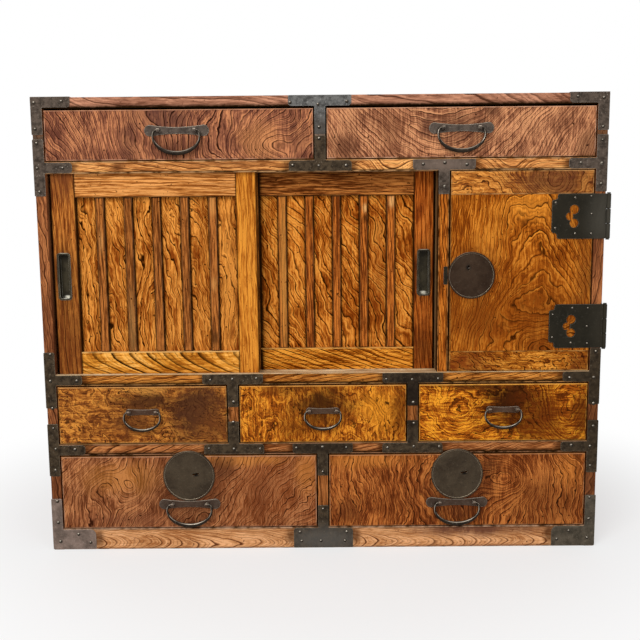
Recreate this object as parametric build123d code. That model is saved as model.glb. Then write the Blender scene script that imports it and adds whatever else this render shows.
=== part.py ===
from build123d import *
import os

# Merchant's tansu chest in zelkova with forged irons. Millimetres, +Z up, the front looks towards -Y.
# The origin is on the floor under the middle of the carcass.

# Carcass boards
carcass_width = 878.0
carcass_depth = 398.0
side_thick = 16.0
top_thick = 17.0
shelf_thick = 18.0
divider_thick = 16.5
base_height = 35.0
base_thick = 25.0
bottom_thick = 12.0
back_thick = 7.0
back_lap = 8.0
back_board_count = 4
dado_depth = 5.0
finger_count = 7
board_round = 0.8

# Heights of the four rows, from the floor up
bottom_row = 123.0
small_row = 96.0
door_row = 314.5
top_row = 79.5

# Middles of the upright dividers
centre_divider_x = 0.0
small_divider_left_x = -142.0
small_divider_right_x = 143.8
door_divider_x = 190.2

# Drawers
front_thick = 18.0
front_proud = 0.3
front_round = 1.5
front_side_gap = 2.0
front_top_gap = 2.3
front_bottom_gap = 1.4
drawer_side_thick = 9.0
drawer_back_thick = 9.0
drawer_bottom_thick = 6.0
drawer_bottom_rise = 6.0
drawer_groove = 4.0
drawer_side_inset = 0.5
drawer_side_lap = 9.0
drawer_side_drop = 5.0
drawer_back_drop = 8.0
drawer_back_gap = 11.0
run_gap = 0.3

# Large handles on the top and bottom drawers
large_plate_end = 17.0
large_plate_waist = 10.0
large_post_span = 55.0
large_plate_past_post = 22.0
large_bail_past_post = 10.0
large_bail_drop = 37.5
large_bail_bar = 6.5
top_handle_rise = 5.7
top_left_handle_shift = -2.8
bottom_handle_rise = 41.0

# Small handles on the small drawers
small_plate_end = 11.0
small_plate_waist = 8.5
small_post_span = 43.0
small_plate_past_post = 5.5
small_bail_past_post = 9.0
small_bail_drop = 31.0
small_bail_bar = 5.0
small_handle_rise = 4.5

# What all handles share
plate_thick = 1.6
plate_round = 0.4
plate_blend = 2.5
post_radius = 2.4
eye_radius = 3.4
eye_length = 5.0
eye_round = 0.7
bail_pin_radius = 1.45
pin_clearance = 0.05
bail_side_bar = 3.5
bail_depth = 5.0
bail_shoulder = 9.0
bail_end_gap = 1.0
bail_round = 1.2
bail_axis_proud = 6.0

# Sliding doors and their tracks
track_lip = 7.0
track_rib = 2.0
track_clearance = 0.5
track_floor_depth = 2.5
track_roof_depth = 9.0
door_thick = 20.0
door_roof_lap = 4.5
door_overlap = 40.0
left_door_end_gap = 4.5
right_door_end_gap = 3.3
left_outer_stile = 37.0
right_outer_stile = 31.0
left_inner_stile = 31.0
right_inner_stile = 42.0
door_top_rail = 41.0
door_bottom_rail = 37.0
tenon_length = 15.0
tenon_thick = 7.0
tenon_shoulder = 6.0
door_panel_thick = 6.0
door_panel_recess = 8.0
door_panel_groove = 5.0
batten_count = 5
batten_width = 13.0
batten_thick = 5.0

# Recessed door pulls
pull_width = 17.5
pull_height = 70.5
pull_corner = 3.0
pull_rim = 1.8
pull_rim_proud = 1.0
pull_cup_depth = 11.0
pull_wall = 1.2
pull_from_edge = 15.5
pull_rise = 155.5

# Hinged door
swing_door_thick = 22.0
swing_door_side_gap = 2.5
swing_door_floor_gap = 1.0
swing_door_top_gap = 1.2
top_cleat = 36.0
bottom_cleat = 32.0
cleat_tongue = 8.0
cleat_tongue_thick = 7.0

# Hinges
hinge_height = 69.0
upper_hinge_rise = 242.8
lower_hinge_rise = 71.6
leaf_thick = 2.0
leaf_reach = 86.5
leaf_shoulder = 8.5
leaf_step = 9.0
leaf_corner = 3.5
side_leaf_reach = 56.0
barrel_radius = 3.6
barrel_round = 1.2
hinge_pin_radius = 1.8
pin_out_side = 4.0
pin_out_front = 2.3
knuckle_gap = 0.3
pin_head_radius = 2.8
pin_head_height = 1.4
lobe_radius_top = 7.3
lobe_radius_side = 6.0
lobe_radius_bottom = 7.0
lobe_pitch = 10.5
lobe_from_pin = 52.0
lobe_side_out = 7.0

# Locks
lock_plate_thick = 2.2
lock_plate_round = 0.8
lock_rim_width = 2.4
lock_rim_proud = 0.5
drawer_lock_radius = 41.5
drawer_lock_rise = 88.0
door_lock_radius = 36.5
door_lock_rise = 152.8
door_lock_margin = 5.0
lock_case_width = 56.0
lock_case_height = 46.0
lock_case_depth = 11.0
lock_web = 6.0
bolt_width = 18.0
bolt_thick = 6.0
bolt_length = 34.0
bolt_travel = 8.0
bolt_clearance = 0.2
bolt_set_back = 1.0
keep_clearance = 1.0
keyhole_radius = 1.7
keyhole_spread = 4.0
keyhole_slot = 6.4
keyhole_slant = 35.0
keyhole_off_x = 11.0
keyhole_off_z = 3.0
door_keyhole_off_x = -4.0
door_keyhole_off_z = 10.0

# Irons
iron_thick = 1.0
iron_width = 16.0
iron_round = 1.5
iron_end_round = 5.0
foot_end_round = 9.0
iron_wrap = 26.0
iron_floor_gap = 1.0
corner_arm = 60.0
corner_drop = 57.0
foot_arm = 70.0
foot_rise = 86.0
foot_height = 34.0
side_tee_arm = 59.0
side_tee_reach = 43.0
middle_tee_reach = 45.0
tee_arm = 48.0
tee_stem = 45.0
top_tee_stem = 41.0
foot_tee_stem = 38.0
strike_width = 6.0
strike_height = 28.0
strike_gap = 0.6

# Places worked out from the sizes above
half_width = carcass_width / 2
inner_half = half_width - side_thick
front = -carcass_depth / 2
back = carcass_depth / 2
back_face = back - back_thick
face = front - front_proud

bottom_floor = base_height
lower_shelf_z = bottom_floor + bottom_row
small_floor = lower_shelf_z + shelf_thick
middle_shelf_z = small_floor + small_row
door_floor = middle_shelf_z + shelf_thick
upper_shelf_z = door_floor + door_row
top_floor = upper_shelf_z + shelf_thick
top_z = top_floor + top_row
carcass_height = top_z + top_thick

half_divider = divider_thick / 2
door_divider_left = door_divider_x - half_divider
door_divider_right = door_divider_x + half_divider

track_width = door_thick + 2 * track_clearance
front_track = front + track_lip
rear_track = front_track + track_width + track_rib
left_door_face = front_track + track_clearance
right_door_face = rear_track + track_clearance
door_bottom = door_floor - track_floor_depth + run_gap
door_top = upper_shelf_z + door_roof_lap
door_span = door_divider_left + inner_half
door_width = (door_span - left_door_end_gap - right_door_end_gap + door_overlap) / 2
left_door_x = -inner_half + left_door_end_gap
right_door_x = door_divider_left - right_door_end_gap - door_width

swing_left = door_divider_right + swing_door_side_gap
swing_right = inner_half - swing_door_side_gap
swing_bottom = door_floor + swing_door_floor_gap
swing_top = upper_shelf_z - swing_door_top_gap
swing_back = face + swing_door_thick
door_lock_x = swing_left + door_lock_margin + lock_case_width / 2
door_lock_z = door_floor + door_lock_rise

pin_x = half_width + pin_out_side
pin_y = front - pin_out_front
bail_axis_y = face - bail_axis_proud
large_plate_width = large_post_span + 2 * large_plate_past_post
large_bail_width = large_post_span + 2 * large_bail_past_post
small_plate_width = small_post_span + 2 * small_plate_past_post
small_bail_width = small_post_span + 2 * small_bail_past_post
drawer_lock_z = bottom_floor + drawer_lock_rise
left_lock_x = (-inner_half + centre_divider_x - half_divider) / 2
right_lock_x = (inner_half + centre_divider_x + half_divider) / 2

# How near an edge must lie to a plane to be picked
hair = 1e-3

nodes = {}


def add(name, *solids):
    """Keep the solids of one named piece."""
    nodes[name] = list(solids)


def block(x0, x1, y0, y1, z0, z1):
    """Box between two opposite corners, given in any order."""
    size = (abs(x1 - x0), abs(y1 - y0), abs(z1 - z0))
    return Pos((x0 + x1) / 2, (y0 + y1) / 2, (z0 + z1) / 2) * Box(*size)


def front_plate(sketch, y_back, thick):
    """A flat outline drawn in X and Z, standing out to the front from y_back."""
    plane = Plane(origin=(0, y_back, 0), x_dir=(1, 0, 0), z_dir=(0, -1, 0))
    return extrude(plane * sketch, thick)


def rectangle(x0, x1, z0, z1):
    """Flat rectangle between two opposite corners."""
    return Pos((x0 + x1) / 2, (z0 + z1) / 2) * Rectangle(abs(x1 - x0), abs(z1 - z0))


def rod_y(x, z, radius, y0, y1):
    """Round rod along Y between two depths."""
    return front_plate(Pos(x, z) * Circle(radius), max(y0, y1), abs(y1 - y0))


def rod_x(y, z, radius, x0, x1):
    """Round rod along X between two places."""
    return Pos((x0 + x1) / 2, y, z) * Rot(0, 90, 0) * Cylinder(radius, abs(x1 - x0))


def soften_front(solid, y, radius):
    """Round the edges that bound the face at depth y."""
    edges = [e for e in solid.edges() if e.bounding_box().max.Y < y + hair]
    return fillet(edges, radius)


def soften_along(solid, axis, y, radius):
    """Round only the edges at depth y that run along one axis."""
    edges = [e for e in solid.edges().filter_by(axis) if e.bounding_box().max.Y < y + hair]
    return fillet(edges, radius)


def finger_spans(odd):
    """Depth spans of every second finger of the corner joint."""
    step = carcass_depth / finger_count
    picked = range(1 if odd else 0, finger_count, 2)
    return [(front + i * step, front + (i + 1) * step) for i in picked]


# Carcass

def side_board(sign):
    """Upright side with dadoes for the shelves, a rear rabbet and fingers into the top."""
    outer = sign * half_width
    inner = sign * inner_half
    board = soften_along(block(inner, outer, front, back, 0, top_z), Axis.Z, front, board_round)
    for y0, y1 in finger_spans(odd=True):
        board += block(inner, outer, y0, y1, top_z, carcass_height)
    dado = inner + sign * dado_depth
    for z in (lower_shelf_z, middle_shelf_z, upper_shelf_z):
        board -= block(inner, dado, front, back_face, z, z + shelf_thick)
    board -= block(inner, dado, front + base_thick, back_face, base_height - bottom_thick, base_height)
    board -= block(inner, inner + sign * back_lap, back_face, back, base_height - bottom_thick, top_z)
    return board


def top_board():
    """Top with notches for the side fingers."""
    board = block(-half_width, half_width, front, back, top_z, carcass_height)
    board = soften_along(board, Axis.X, front, board_round)
    for sign in (-1, 1):
        for y0, y1 in finger_spans(odd=True):
            board -= block(sign * inner_half, sign * half_width, y0, y1, top_z, carcass_height)
    return board


def shelf(z):
    """Plain shelf let into both sides."""
    reach = inner_half + dado_depth
    board = block(-reach, reach, front, back_face, z, z + shelf_thick)
    return soften_along(board, Axis.X, front, board_round)


def track_cut(y, z0, z1):
    """Slot for one sliding door, from the left side to the door divider."""
    return block(-inner_half, door_divider_left, y, y + track_width, z0, z1)


def back_boards():
    """Horizontal boards that close the back, in the rabbets of the sides."""
    reach = inner_half + back_lap
    low = base_height - bottom_thick
    step = (top_z - low) / back_board_count
    rows = [low + i * step for i in range(back_board_count)]
    return [block(-reach, reach, back_face, back, z, z + step) for z in rows]


def divider(x, z0, z1):
    """Upright partition from the front to the back boards."""
    board = block(x - half_divider, x + half_divider, front, back_face, z0, z1)
    return soften_along(board, Axis.Z, front, board_round)


def bolt_keep(x):
    """Slot in the underside of the lower shelf for a drawer lock bolt."""
    half = bolt_width / 2 + keep_clearance
    y0, y1 = bolt_depths()
    top = lower_shelf_z + bolt_travel + keep_clearance
    return block(x - half, x + half, y0 - keep_clearance, y1 + keep_clearance, lower_shelf_z, top)


def bolt_depths():
    """Front and back of a lock bolt, in the middle of its case."""
    y0 = face + lock_web + (lock_case_depth - bolt_thick) / 2
    return y0, y0 + bolt_thick


add("left_side_board", side_board(-1))
add("right_side_board", side_board(1))
add("top_board", top_board())
add("back_panel", *back_boards())
shelf_reach = inner_half + dado_depth
bottom_low = base_height - bottom_thick
bottom = block(-shelf_reach, shelf_reach, front + base_thick, back_face, bottom_low, base_height)
add("bottom_board", bottom)
rail = block(-inner_half, inner_half, front, front + base_thick, 0, base_height)
add("base_rail", soften_along(rail, Axis.X, front, board_round))

upper = shelf(upper_shelf_z)
middle = shelf(middle_shelf_z)
for track in (front_track, rear_track):
    upper -= track_cut(track, upper_shelf_z, upper_shelf_z + track_roof_depth)
    middle -= track_cut(track, door_floor - track_floor_depth, door_floor)
add("upper_shelf", upper)
add("middle_shelf", middle)
add("lower_shelf", shelf(lower_shelf_z) - bolt_keep(left_lock_x) - bolt_keep(right_lock_x))

add(
    "drawer_dividers",
    divider(centre_divider_x, top_floor, top_z),
    divider(small_divider_left_x, small_floor, middle_shelf_z),
    divider(small_divider_right_x, small_floor, middle_shelf_z),
    divider(centre_divider_x, bottom_floor, lower_shelf_z),
)

door_bolt_y0, door_bolt_y1 = bolt_depths()
keep_half = bolt_width / 2 + keep_clearance
door_keep_depth = bolt_travel - swing_door_side_gap - bolt_set_back + keep_clearance
door_keep = block(
    door_divider_right - door_keep_depth,
    door_divider_right,
    door_bolt_y0 - keep_clearance,
    door_bolt_y1 + keep_clearance,
    door_lock_z - keep_half,
    door_lock_z + keep_half,
)
add("door_divider", divider(door_divider_x, door_floor, upper_shelf_z) - door_keep)


# Irons

def iron_plate(outline, ends=(), end_round=iron_end_round):
    """Strap iron lying on the front of the carcass: the corners at ends well rounded, the others eased."""
    corners = outline.vertices()
    free = [v for v in corners if any(abs(v.X - x) + abs(v.Y - z) < hair for x, z in ends)]
    eased = [(v.X, v.Y) for v in corners if v not in free]
    if free:
        outline = fillet(free, end_round)
    rest = [v for v in outline.vertices() if any(abs(v.X - x) + abs(v.Y - z) < hair for x, z in eased)]
    return front_plate(fillet(rest, iron_round), front, iron_thick)


def side_return(sign, z0, z1):
    """The part of an iron that turns round the corner on to the outside of a side."""
    return block(sign * half_width, sign * iron_edge, front - iron_thick / 2, front + iron_wrap, z0, z1)


def side_tee(sign, z_mid, reach):
    """Iron on the front edge of a side, with an arm along the shelf whose middle is at z_mid."""
    edge = sign * iron_edge
    tip = edge - sign * side_tee_arm
    low = z_mid - iron_width / 2
    high = z_mid + iron_width / 2
    upright = rectangle(edge, sign * inner_half, z_mid - reach, z_mid + reach)
    plate = iron_plate(upright + rectangle(edge, tip, low, high), [(tip, low), (tip, high)])
    return plate + side_return(sign, z_mid - reach + iron_round, z_mid + reach - iron_round)


def crown_iron(sign):
    """Iron on an upper corner, with returns along the side and along the top."""
    edge = sign * iron_edge
    tip = edge - sign * corner_arm
    low = crown - iron_width
    upright = rectangle(edge, sign * inner_half, crown - corner_drop, crown)
    plate = iron_plate(upright + rectangle(edge, tip, low, crown), [(tip, low)])
    top = block(edge, tip, front - iron_thick / 2, front + iron_wrap, carcass_height, crown)
    return plate + side_return(sign, crown - corner_drop + iron_round, crown) + top


def foot_iron(sign):
    """Deeper iron on a lower corner, with a return along the side."""
    edge = sign * iron_edge
    tip = edge - sign * foot_arm
    upright = rectangle(edge, sign * inner_half, iron_floor_gap, foot_rise)
    outline = upright + rectangle(edge, tip, iron_floor_gap, foot_height)
    plate = iron_plate(outline, [(tip, foot_height)], foot_end_round)
    return plate + side_return(sign, iron_floor_gap + iron_round, foot_rise - iron_round)


def tee(x, z0, z1, stem_end):
    """Tee with its arms along a shelf between z0 and z1 and its stem along a divider."""
    stem = rectangle(x - half_divider, x + half_divider, (z0 + z1) / 2, stem_end)
    stem_side = z1 if stem_end > z1 else z0
    ends = [(x - tee_arm, stem_side), (x + tee_arm, stem_side)]
    return iron_plate(rectangle(x - tee_arm, x + tee_arm, z0, z1) + stem, ends)


def shelf_tee(x, z_mid, way):
    """Tee on a shelf, its stem going up or down from the middle of the shelf."""
    return tee(x, z_mid - iron_width / 2, z_mid + iron_width / 2, z_mid + way * tee_stem)


iron_edge = half_width + iron_thick
crown = carcass_height + iron_thick
upper_mid = upper_shelf_z + shelf_thick / 2
middle_mid = middle_shelf_z + shelf_thick / 2
lower_mid = lower_shelf_z + shelf_thick / 2
add("corner_irons", crown_iron(-1), crown_iron(1), foot_iron(-1), foot_iron(1))

straps = []
for sign in (-1, 1):
    straps.append(side_tee(sign, lower_mid, side_tee_reach))
    straps.append(side_tee(sign, middle_mid, middle_tee_reach))
    straps.append(side_tee(sign, upper_mid, side_tee_reach))
straps.append(tee(centre_divider_x, carcass_height - iron_width, carcass_height, top_z - top_tee_stem))
straps.append(shelf_tee(centre_divider_x, upper_mid, 1))
straps.append(shelf_tee(door_divider_x, upper_mid, -1))
for x in (small_divider_left_x, small_divider_right_x):
    straps.append(shelf_tee(x, middle_mid, -1))
    straps.append(shelf_tee(x, lower_mid, 1))
straps.append(shelf_tee(centre_divider_x, lower_mid, -1))
straps.append(tee(centre_divider_x, iron_floor_gap, foot_height, foot_height + foot_tee_stem))
strike_right = door_lock_x - door_lock_radius - strike_gap
strike_low = door_lock_z - strike_height / 2
strike = rectangle(strike_right - strike_width, strike_right, strike_low, strike_low + strike_height)
straps.append(iron_plate(strike))
add("strap_irons", *straps)


# Handles

def plate_outline(width, end, waist):
    """Handle plate drawn in at the waist between two rounded ends."""
    x = width / 2 - end / 2
    top = ThreePointArc((-x, end / 2), (0, waist / 2), (x, end / 2))
    right = ThreePointArc((x, end / 2), (width / 2, 0), (x, -end / 2))
    low = ThreePointArc((x, -end / 2), (0, -waist / 2), (-x, -end / 2))
    left = ThreePointArc((-x, -end / 2), (-width / 2, 0), (-x, end / 2))
    outline = make_face(top + right + low + left)
    return fillet(outline.vertices(), plate_blend)


def bail_outline(span, width, drop, bar):
    """Crescent of a hanging bail, thin at the shoulders and full at the bottom, drawn about its pivot line."""
    start = span / 2 + eye_length / 2 + bail_end_gap
    half = width / 2
    inner = half - bail_side_bar
    r = bail_pin_radius
    deep = drop - bail_shoulder
    curves = Line((start, -r), (start, r))
    curves += EllipticalCenterArc((start, -bail_shoulder), half - start, bail_shoulder + r, 90, arc_size=-90)
    curves += EllipticalCenterArc((0, -bail_shoulder), half, deep, 0, arc_size=-180)
    curves += EllipticalCenterArc((-start, -bail_shoulder), half - start, bail_shoulder + r, 180, arc_size=-90)
    curves += Line((-start, r), (-start, -r))
    curves += EllipticalCenterArc((-start, -bail_shoulder), inner - start, bail_shoulder - r, 90, arc_size=90)
    curves += EllipticalCenterArc((0, -bail_shoulder), inner, deep - bar, 180, arc_size=180)
    curves += EllipticalCenterArc((start, -bail_shoulder), inner - start, bail_shoulder - r, 0, arc_size=90)
    return make_face(curves)


def handle(x, z, span, width, end, waist):
    """Handle plate and its two eye posts, the posts going through the drawer front."""
    plate = front_plate(Pos(x, z) * plate_outline(width, end, waist), face, plate_thick)
    plate = chamfer([e for e in plate.edges() if e.center().Y < face - plate_thick + hair], plate_round)
    posts = []
    for side in (-1, 1):
        post_x = x + side * span / 2
        plate -= rod_y(post_x, z, post_radius, face, face - plate_thick)
        post = rod_y(post_x, z, post_radius, face + front_thick, bail_axis_y)
        eye = rod_x(bail_axis_y, z, eye_radius, post_x - eye_length / 2, post_x + eye_length / 2)
        eye = fillet(eye.edges().filter_by(GeomType.CIRCLE), eye_round)
        bore = rod_x(bail_axis_y, z, bail_pin_radius + pin_clearance, post_x - eye_length, post_x + eye_length)
        posts.append(post + eye - bore)
    return [plate] + posts


def bail(x, z, span, width, drop, bar):
    """Bail hanging from its two posts."""
    crescent = front_plate(bail_outline(span, width, drop, bar), bail_depth / 2, bail_depth)
    rims = [e for e in crescent.edges() if abs(abs(e.center().Y) - bail_depth / 2) < hair]
    long_rims = [e for e in rims if e.geom_type != GeomType.LINE]
    crescent = fillet(long_rims, bail_round)
    start = span / 2 + eye_length / 2 + bail_end_gap
    tip = span / 2 - eye_length / 2 - bail_end_gap
    for side in (-1, 1):
        crescent += rod_x(0, 0, bail_pin_radius, side * tip, side * (start + bail_pin_radius))
    return Pos(x, bail_axis_y, z) * crescent


# Locks

def lock_space(x, z, y_back):
    """Room for a lock case behind the web of a front, as far back as y_back."""
    half = lock_case_width / 2
    rise = lock_case_height / 2
    return block(x - half, x + half, face + lock_web, y_back, z - rise, z + rise)


def lock_plate(x, z, radius, keyhole):
    """Round lock plate with a softened, raised rim and a keyhole."""
    disc = front_plate(Pos(x, z) * Circle(radius), face, lock_plate_thick)
    rim = [e for e in disc.edges() if e.center().Y < face - lock_plate_thick + hair]
    field = Pos(x, z) * Circle(radius - lock_rim_width)
    disc = fillet(rim, lock_plate_round) - front_plate(field, face - lock_plate_thick + lock_rim_proud, lock_rim_proud)
    return disc - front_plate(keyhole, face, lock_plate_thick)


def curled_keyhole(x, z):
    """Keyhole of two round ends joined by a slanting slot."""
    k = keyhole_spread
    r = keyhole_radius
    hole = Pos(x - k, z - r / 2) * Circle(r) + Pos(x + k, z + r / 2) * Circle(r)
    return hole + Pos(x, z) * Rot(0, 0, keyhole_slant) * Rectangle(keyhole_slot, r)


def double_keyhole(x, z):
    """Keyhole of two round holes, one over the other."""
    return Pos(x, z) * Circle(keyhole_radius) + Pos(x, z + keyhole_spread) * Circle(keyhole_radius)


# Drawers

def drawer(name, x0, x1, z0, z1, handle_rise, large, lock_x=None, handle_shift=0.0):
    """One drawer in the bay between x0, x1, z0 and z1."""
    left = x0 + front_side_gap
    right = x1 - front_side_gap
    low = z0 + front_bottom_gap
    high = z1 - front_top_gap
    rear = back_face - drawer_back_gap
    inside = face + front_thick
    panel = soften_front(block(left, right, face, inside, low, high), face, front_round)
    side_low = z0 + run_gap
    side_high = high - drawer_side_drop
    floor = side_low + drawer_bottom_rise
    floor_top = floor + drawer_bottom_thick
    lap = inside - drawer_side_lap
    walls = []
    for outer, sign in ((left + drawer_side_inset, 1), (right - drawer_side_inset, -1)):
        inner = outer + sign * drawer_side_thick
        panel -= block(outer - sign * drawer_side_inset, inner, lap, inside, low, high)
        wall = block(outer, inner, lap, rear, side_low, side_high)
        wall -= block(inner - sign * drawer_groove, inner, lap, rear, floor, floor_top)
        walls.append(wall)
    inner_left = left + drawer_side_inset + drawer_side_thick
    inner_right = right - drawer_side_inset - drawer_side_thick
    board_y = inside - drawer_groove
    panel -= block(inner_left, inner_right, board_y, inside, floor, floor_top)
    board = block(inner_left, inner_right, board_y, rear, floor, floor_top)
    board += block(inner_left - drawer_groove, inner_right + drawer_groove, inside, rear, floor, floor_top)
    back_high = side_high - drawer_back_drop
    rear_wall = block(inner_left, inner_right, rear - drawer_back_thick, rear, floor_top, back_high)

    x = (left + right) / 2 + handle_shift
    z = z0 + handle_rise
    if large:
        span = large_post_span
        handle_solids = handle(x, z, span, large_plate_width, large_plate_end, large_plate_waist)
        bail_solid = bail(x, z, span, large_bail_width, large_bail_drop, large_bail_bar)
    else:
        span = small_post_span
        handle_solids = handle(x, z, span, small_plate_width, small_plate_end, small_plate_waist)
        bail_solid = bail(x, z, span, small_bail_width, small_bail_drop, small_bail_bar)
    for side in (-1, 1):
        panel -= rod_y(x + side * span / 2, z, post_radius, face, inside)

    if lock_x is not None:
        case = lock_space(lock_x, drawer_lock_z, face + lock_web + lock_case_depth)
        rest_top = high - bolt_set_back
        half = bolt_width / 2 + bolt_clearance
        y0, y1 = bolt_depths()
        channel = block(lock_x - half, lock_x + half, y0 - bolt_clearance, y1 + bolt_clearance,
                        rest_top - bolt_length - bolt_clearance, high)
        keyhole = curled_keyhole(lock_x + keyhole_off_x, drawer_lock_z + keyhole_off_z)
        plate = lock_plate(lock_x, drawer_lock_z, drawer_lock_radius, keyhole)
        panel -= lock_space(lock_x, drawer_lock_z, inside)
        panel = panel - channel - front_plate(keyhole, face + lock_web, lock_web)
        add(name + "_lock", plate, case - channel)
        bolt = block(lock_x - bolt_width / 2, lock_x + bolt_width / 2, y0, y1, rest_top - bolt_length, rest_top)
        add(name + "_lock_bolt", bolt)

    add(name + "_front", panel)
    add(name + "_box", walls[0], walls[1], rear_wall, board)
    add(name + "_handle", *handle_solids)
    add(name + "_bail", bail_solid)


centre_left = centre_divider_x - half_divider
centre_right = centre_divider_x + half_divider
top_handle = top_row / 2 + top_handle_rise
drawer("top_left_drawer", -inner_half, centre_left, top_floor, top_z, top_handle, True,
       handle_shift=top_left_handle_shift)
drawer("top_right_drawer", centre_right, inner_half, top_floor, top_z, top_handle, True)
small_handle = small_row / 2 + small_handle_rise
small_edges = (
    ("small_left_drawer", -inner_half, small_divider_left_x - half_divider),
    ("small_middle_drawer", small_divider_left_x + half_divider, small_divider_right_x - half_divider),
    ("small_right_drawer", small_divider_right_x + half_divider, inner_half),
)
for name, x0, x1 in small_edges:
    drawer(name, x0, x1, small_floor, middle_shelf_z, small_handle, False)
drawer("bottom_left_drawer", -inner_half, centre_left, bottom_floor, lower_shelf_z,
       bottom_handle_rise, True, left_lock_x)
drawer("bottom_right_drawer", centre_right, inner_half, bottom_floor, lower_shelf_z,
       bottom_handle_rise, True, right_lock_x)


# Sliding doors

def pull(x, z, y_face):
    """Recessed pull: a rim on the stile and a cup let into it."""
    rim = RectangleRounded(pull_width + 2 * pull_rim, pull_height + 2 * pull_rim, pull_corner + pull_rim)
    cup = RectangleRounded(pull_width, pull_height, pull_corner)
    hollow = RectangleRounded(pull_width - 2 * pull_wall, pull_height - 2 * pull_wall, pull_corner - pull_wall)
    body = front_plate(Pos(x, z) * rim, y_face, pull_rim_proud)
    body += front_plate(Pos(x, z) * cup, y_face + pull_cup_depth, pull_cup_depth)
    reach = pull_cup_depth - pull_wall + pull_rim_proud
    return body - front_plate(Pos(x, z) * hollow, y_face + pull_cup_depth - pull_wall, reach)


def sliding_door(name, x0, y_face, left_stile, right_stile, pull_x):
    """Framed door with a panel in grooves, battens on the panel and a recessed pull."""
    x1 = x0 + door_width
    y_back = y_face + door_thick
    inner0 = x0 + left_stile
    inner1 = x1 - right_stile
    low = door_bottom + door_bottom_rail
    high = door_top - door_top_rail
    panel_y = y_face + door_panel_recess
    panel_back = panel_y + door_panel_thick
    g = door_panel_groove
    panel = block(inner0 - g, inner1 + g, panel_y, panel_back, low - g, high + g)
    tenon_y = y_face + (door_thick - tenon_thick) / 2
    stiles = [block(x0, inner0, y_face, y_back, door_bottom, door_top),
              block(inner1, x1, y_face, y_back, door_bottom, door_top)]
    rails = [block(inner0, inner1, y_face, y_back, door_bottom, low),
             block(inner0, inner1, y_face, y_back, high, door_top)]
    stiles = [soften_front(s, y_face, board_round) for s in stiles]
    rails = [soften_front(r, y_face, board_round) for r in rails]
    spans = [(door_bottom + tenon_shoulder, low - tenon_shoulder - g),
             (high + tenon_shoulder + g, door_top - tenon_shoulder)]
    for i, (z0, z1) in enumerate(spans):
        for k, root in enumerate((inner0, inner1)):
            tip = root + (2 * k - 1) * tenon_length
            tenon = block(root, tip, tenon_y, tenon_y + tenon_thick, z0, z1)
            rails[i] += tenon
            stiles[k] -= tenon
    pull_z = door_floor + pull_rise
    pocket = RectangleRounded(pull_width, pull_height, pull_corner)
    pocket = front_plate(Pos(pull_x, pull_z) * pocket, y_face + pull_cup_depth, pull_cup_depth)
    stiles = [s - panel - pocket for s in stiles]
    rails = [r - panel for r in rails]
    gap = (inner1 - inner0 - batten_count * batten_width) / (batten_count + 1)
    battens = []
    for i in range(batten_count):
        bx = inner0 + gap + i * (gap + batten_width)
        batten_y = panel_y - batten_thick
        batten = block(bx, bx + batten_width, batten_y, panel_y, low, high)
        battens.append(soften_along(batten, Axis.Z, batten_y, board_round))
    add(name + "_frame", *stiles, *rails)
    add(name + "_panel", panel)
    add(name + "_battens", *battens)
    add(name + "_pull", pull(pull_x, pull_z, y_face))


sliding_door("left_sliding_door", left_door_x, left_door_face, left_outer_stile, left_inner_stile,
             left_door_x + pull_from_edge)
sliding_door("right_sliding_door", right_door_x, right_door_face, right_inner_stile, right_outer_stile,
             right_door_x + door_width - pull_from_edge)


# Hinged door

def swing_door():
    """Door board between two cleats, with its lock let into the back."""
    low = swing_bottom + bottom_cleat
    high = swing_top - top_cleat
    tongue_y = face + (swing_door_thick - cleat_tongue_thick) / 2
    tongue_back = tongue_y + cleat_tongue_thick
    board = block(swing_left, swing_right, face, swing_back, low, high)
    board = soften_front(board, face, board_round)
    cleats = [block(swing_left, swing_right, face, swing_back, swing_bottom, low),
              block(swing_left, swing_right, face, swing_back, high, swing_top)]
    cleats = [soften_front(c, face, board_round) for c in cleats]
    for i, (root, tip) in enumerate(((low, low - cleat_tongue), (high, high + cleat_tongue))):
        tongue = block(swing_left + cleat_tongue, swing_right - cleat_tongue, tongue_y, tongue_back, root, tip)
        board += tongue
        cleats[i] -= tongue
    case = lock_space(door_lock_x, door_lock_z, face + lock_web + lock_case_depth)
    y0, y1 = bolt_depths()
    rest_x = swing_left + bolt_set_back
    half = bolt_width / 2 + bolt_clearance
    channel = block(swing_left, rest_x + bolt_length + bolt_clearance, y0 - bolt_clearance, y1 + bolt_clearance,
                    door_lock_z - half, door_lock_z + half)
    keyhole = double_keyhole(door_lock_x + door_keyhole_off_x, door_lock_z + door_keyhole_off_z)
    plate = lock_plate(door_lock_x, door_lock_z, door_lock_radius, keyhole)
    board -= lock_space(door_lock_x, door_lock_z, swing_back)
    board = board - channel - front_plate(keyhole, face + lock_web, lock_web)
    add("swing_door_panel", board)
    add("swing_door_cleats", *cleats)
    add("swing_door_lock", plate, case - channel)
    bolt = block(rest_x, rest_x + bolt_length, y0, y1, door_lock_z - bolt_width / 2, door_lock_z + bolt_width / 2)
    add("swing_door_lock_bolt", bolt)


swing_door()


# Hinges

def knuckle(z0, z1):
    """One knuckle of the barrel, rounded at its rims."""
    tube = Pos(pin_x, pin_y, (z0 + z1) / 2) * Cylinder(barrel_radius, z1 - z0)
    return fillet(tube.edges().filter_by(GeomType.CIRCLE), barrel_round)


def stepped_leaf(reach, z):
    """Leaf outline from its free end at x = 0 to the pin at x = reach, with stepped corners."""
    half = hinge_height / 2
    body = rectangle(leaf_shoulder, reach, z - half, z + half)
    body += rectangle(0, leaf_shoulder + leaf_corner, z - half + leaf_step, z + half - leaf_step)
    corners = [v for v in body.vertices() if v.X < leaf_shoulder + hair]
    return fillet(corners, leaf_corner)


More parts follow.
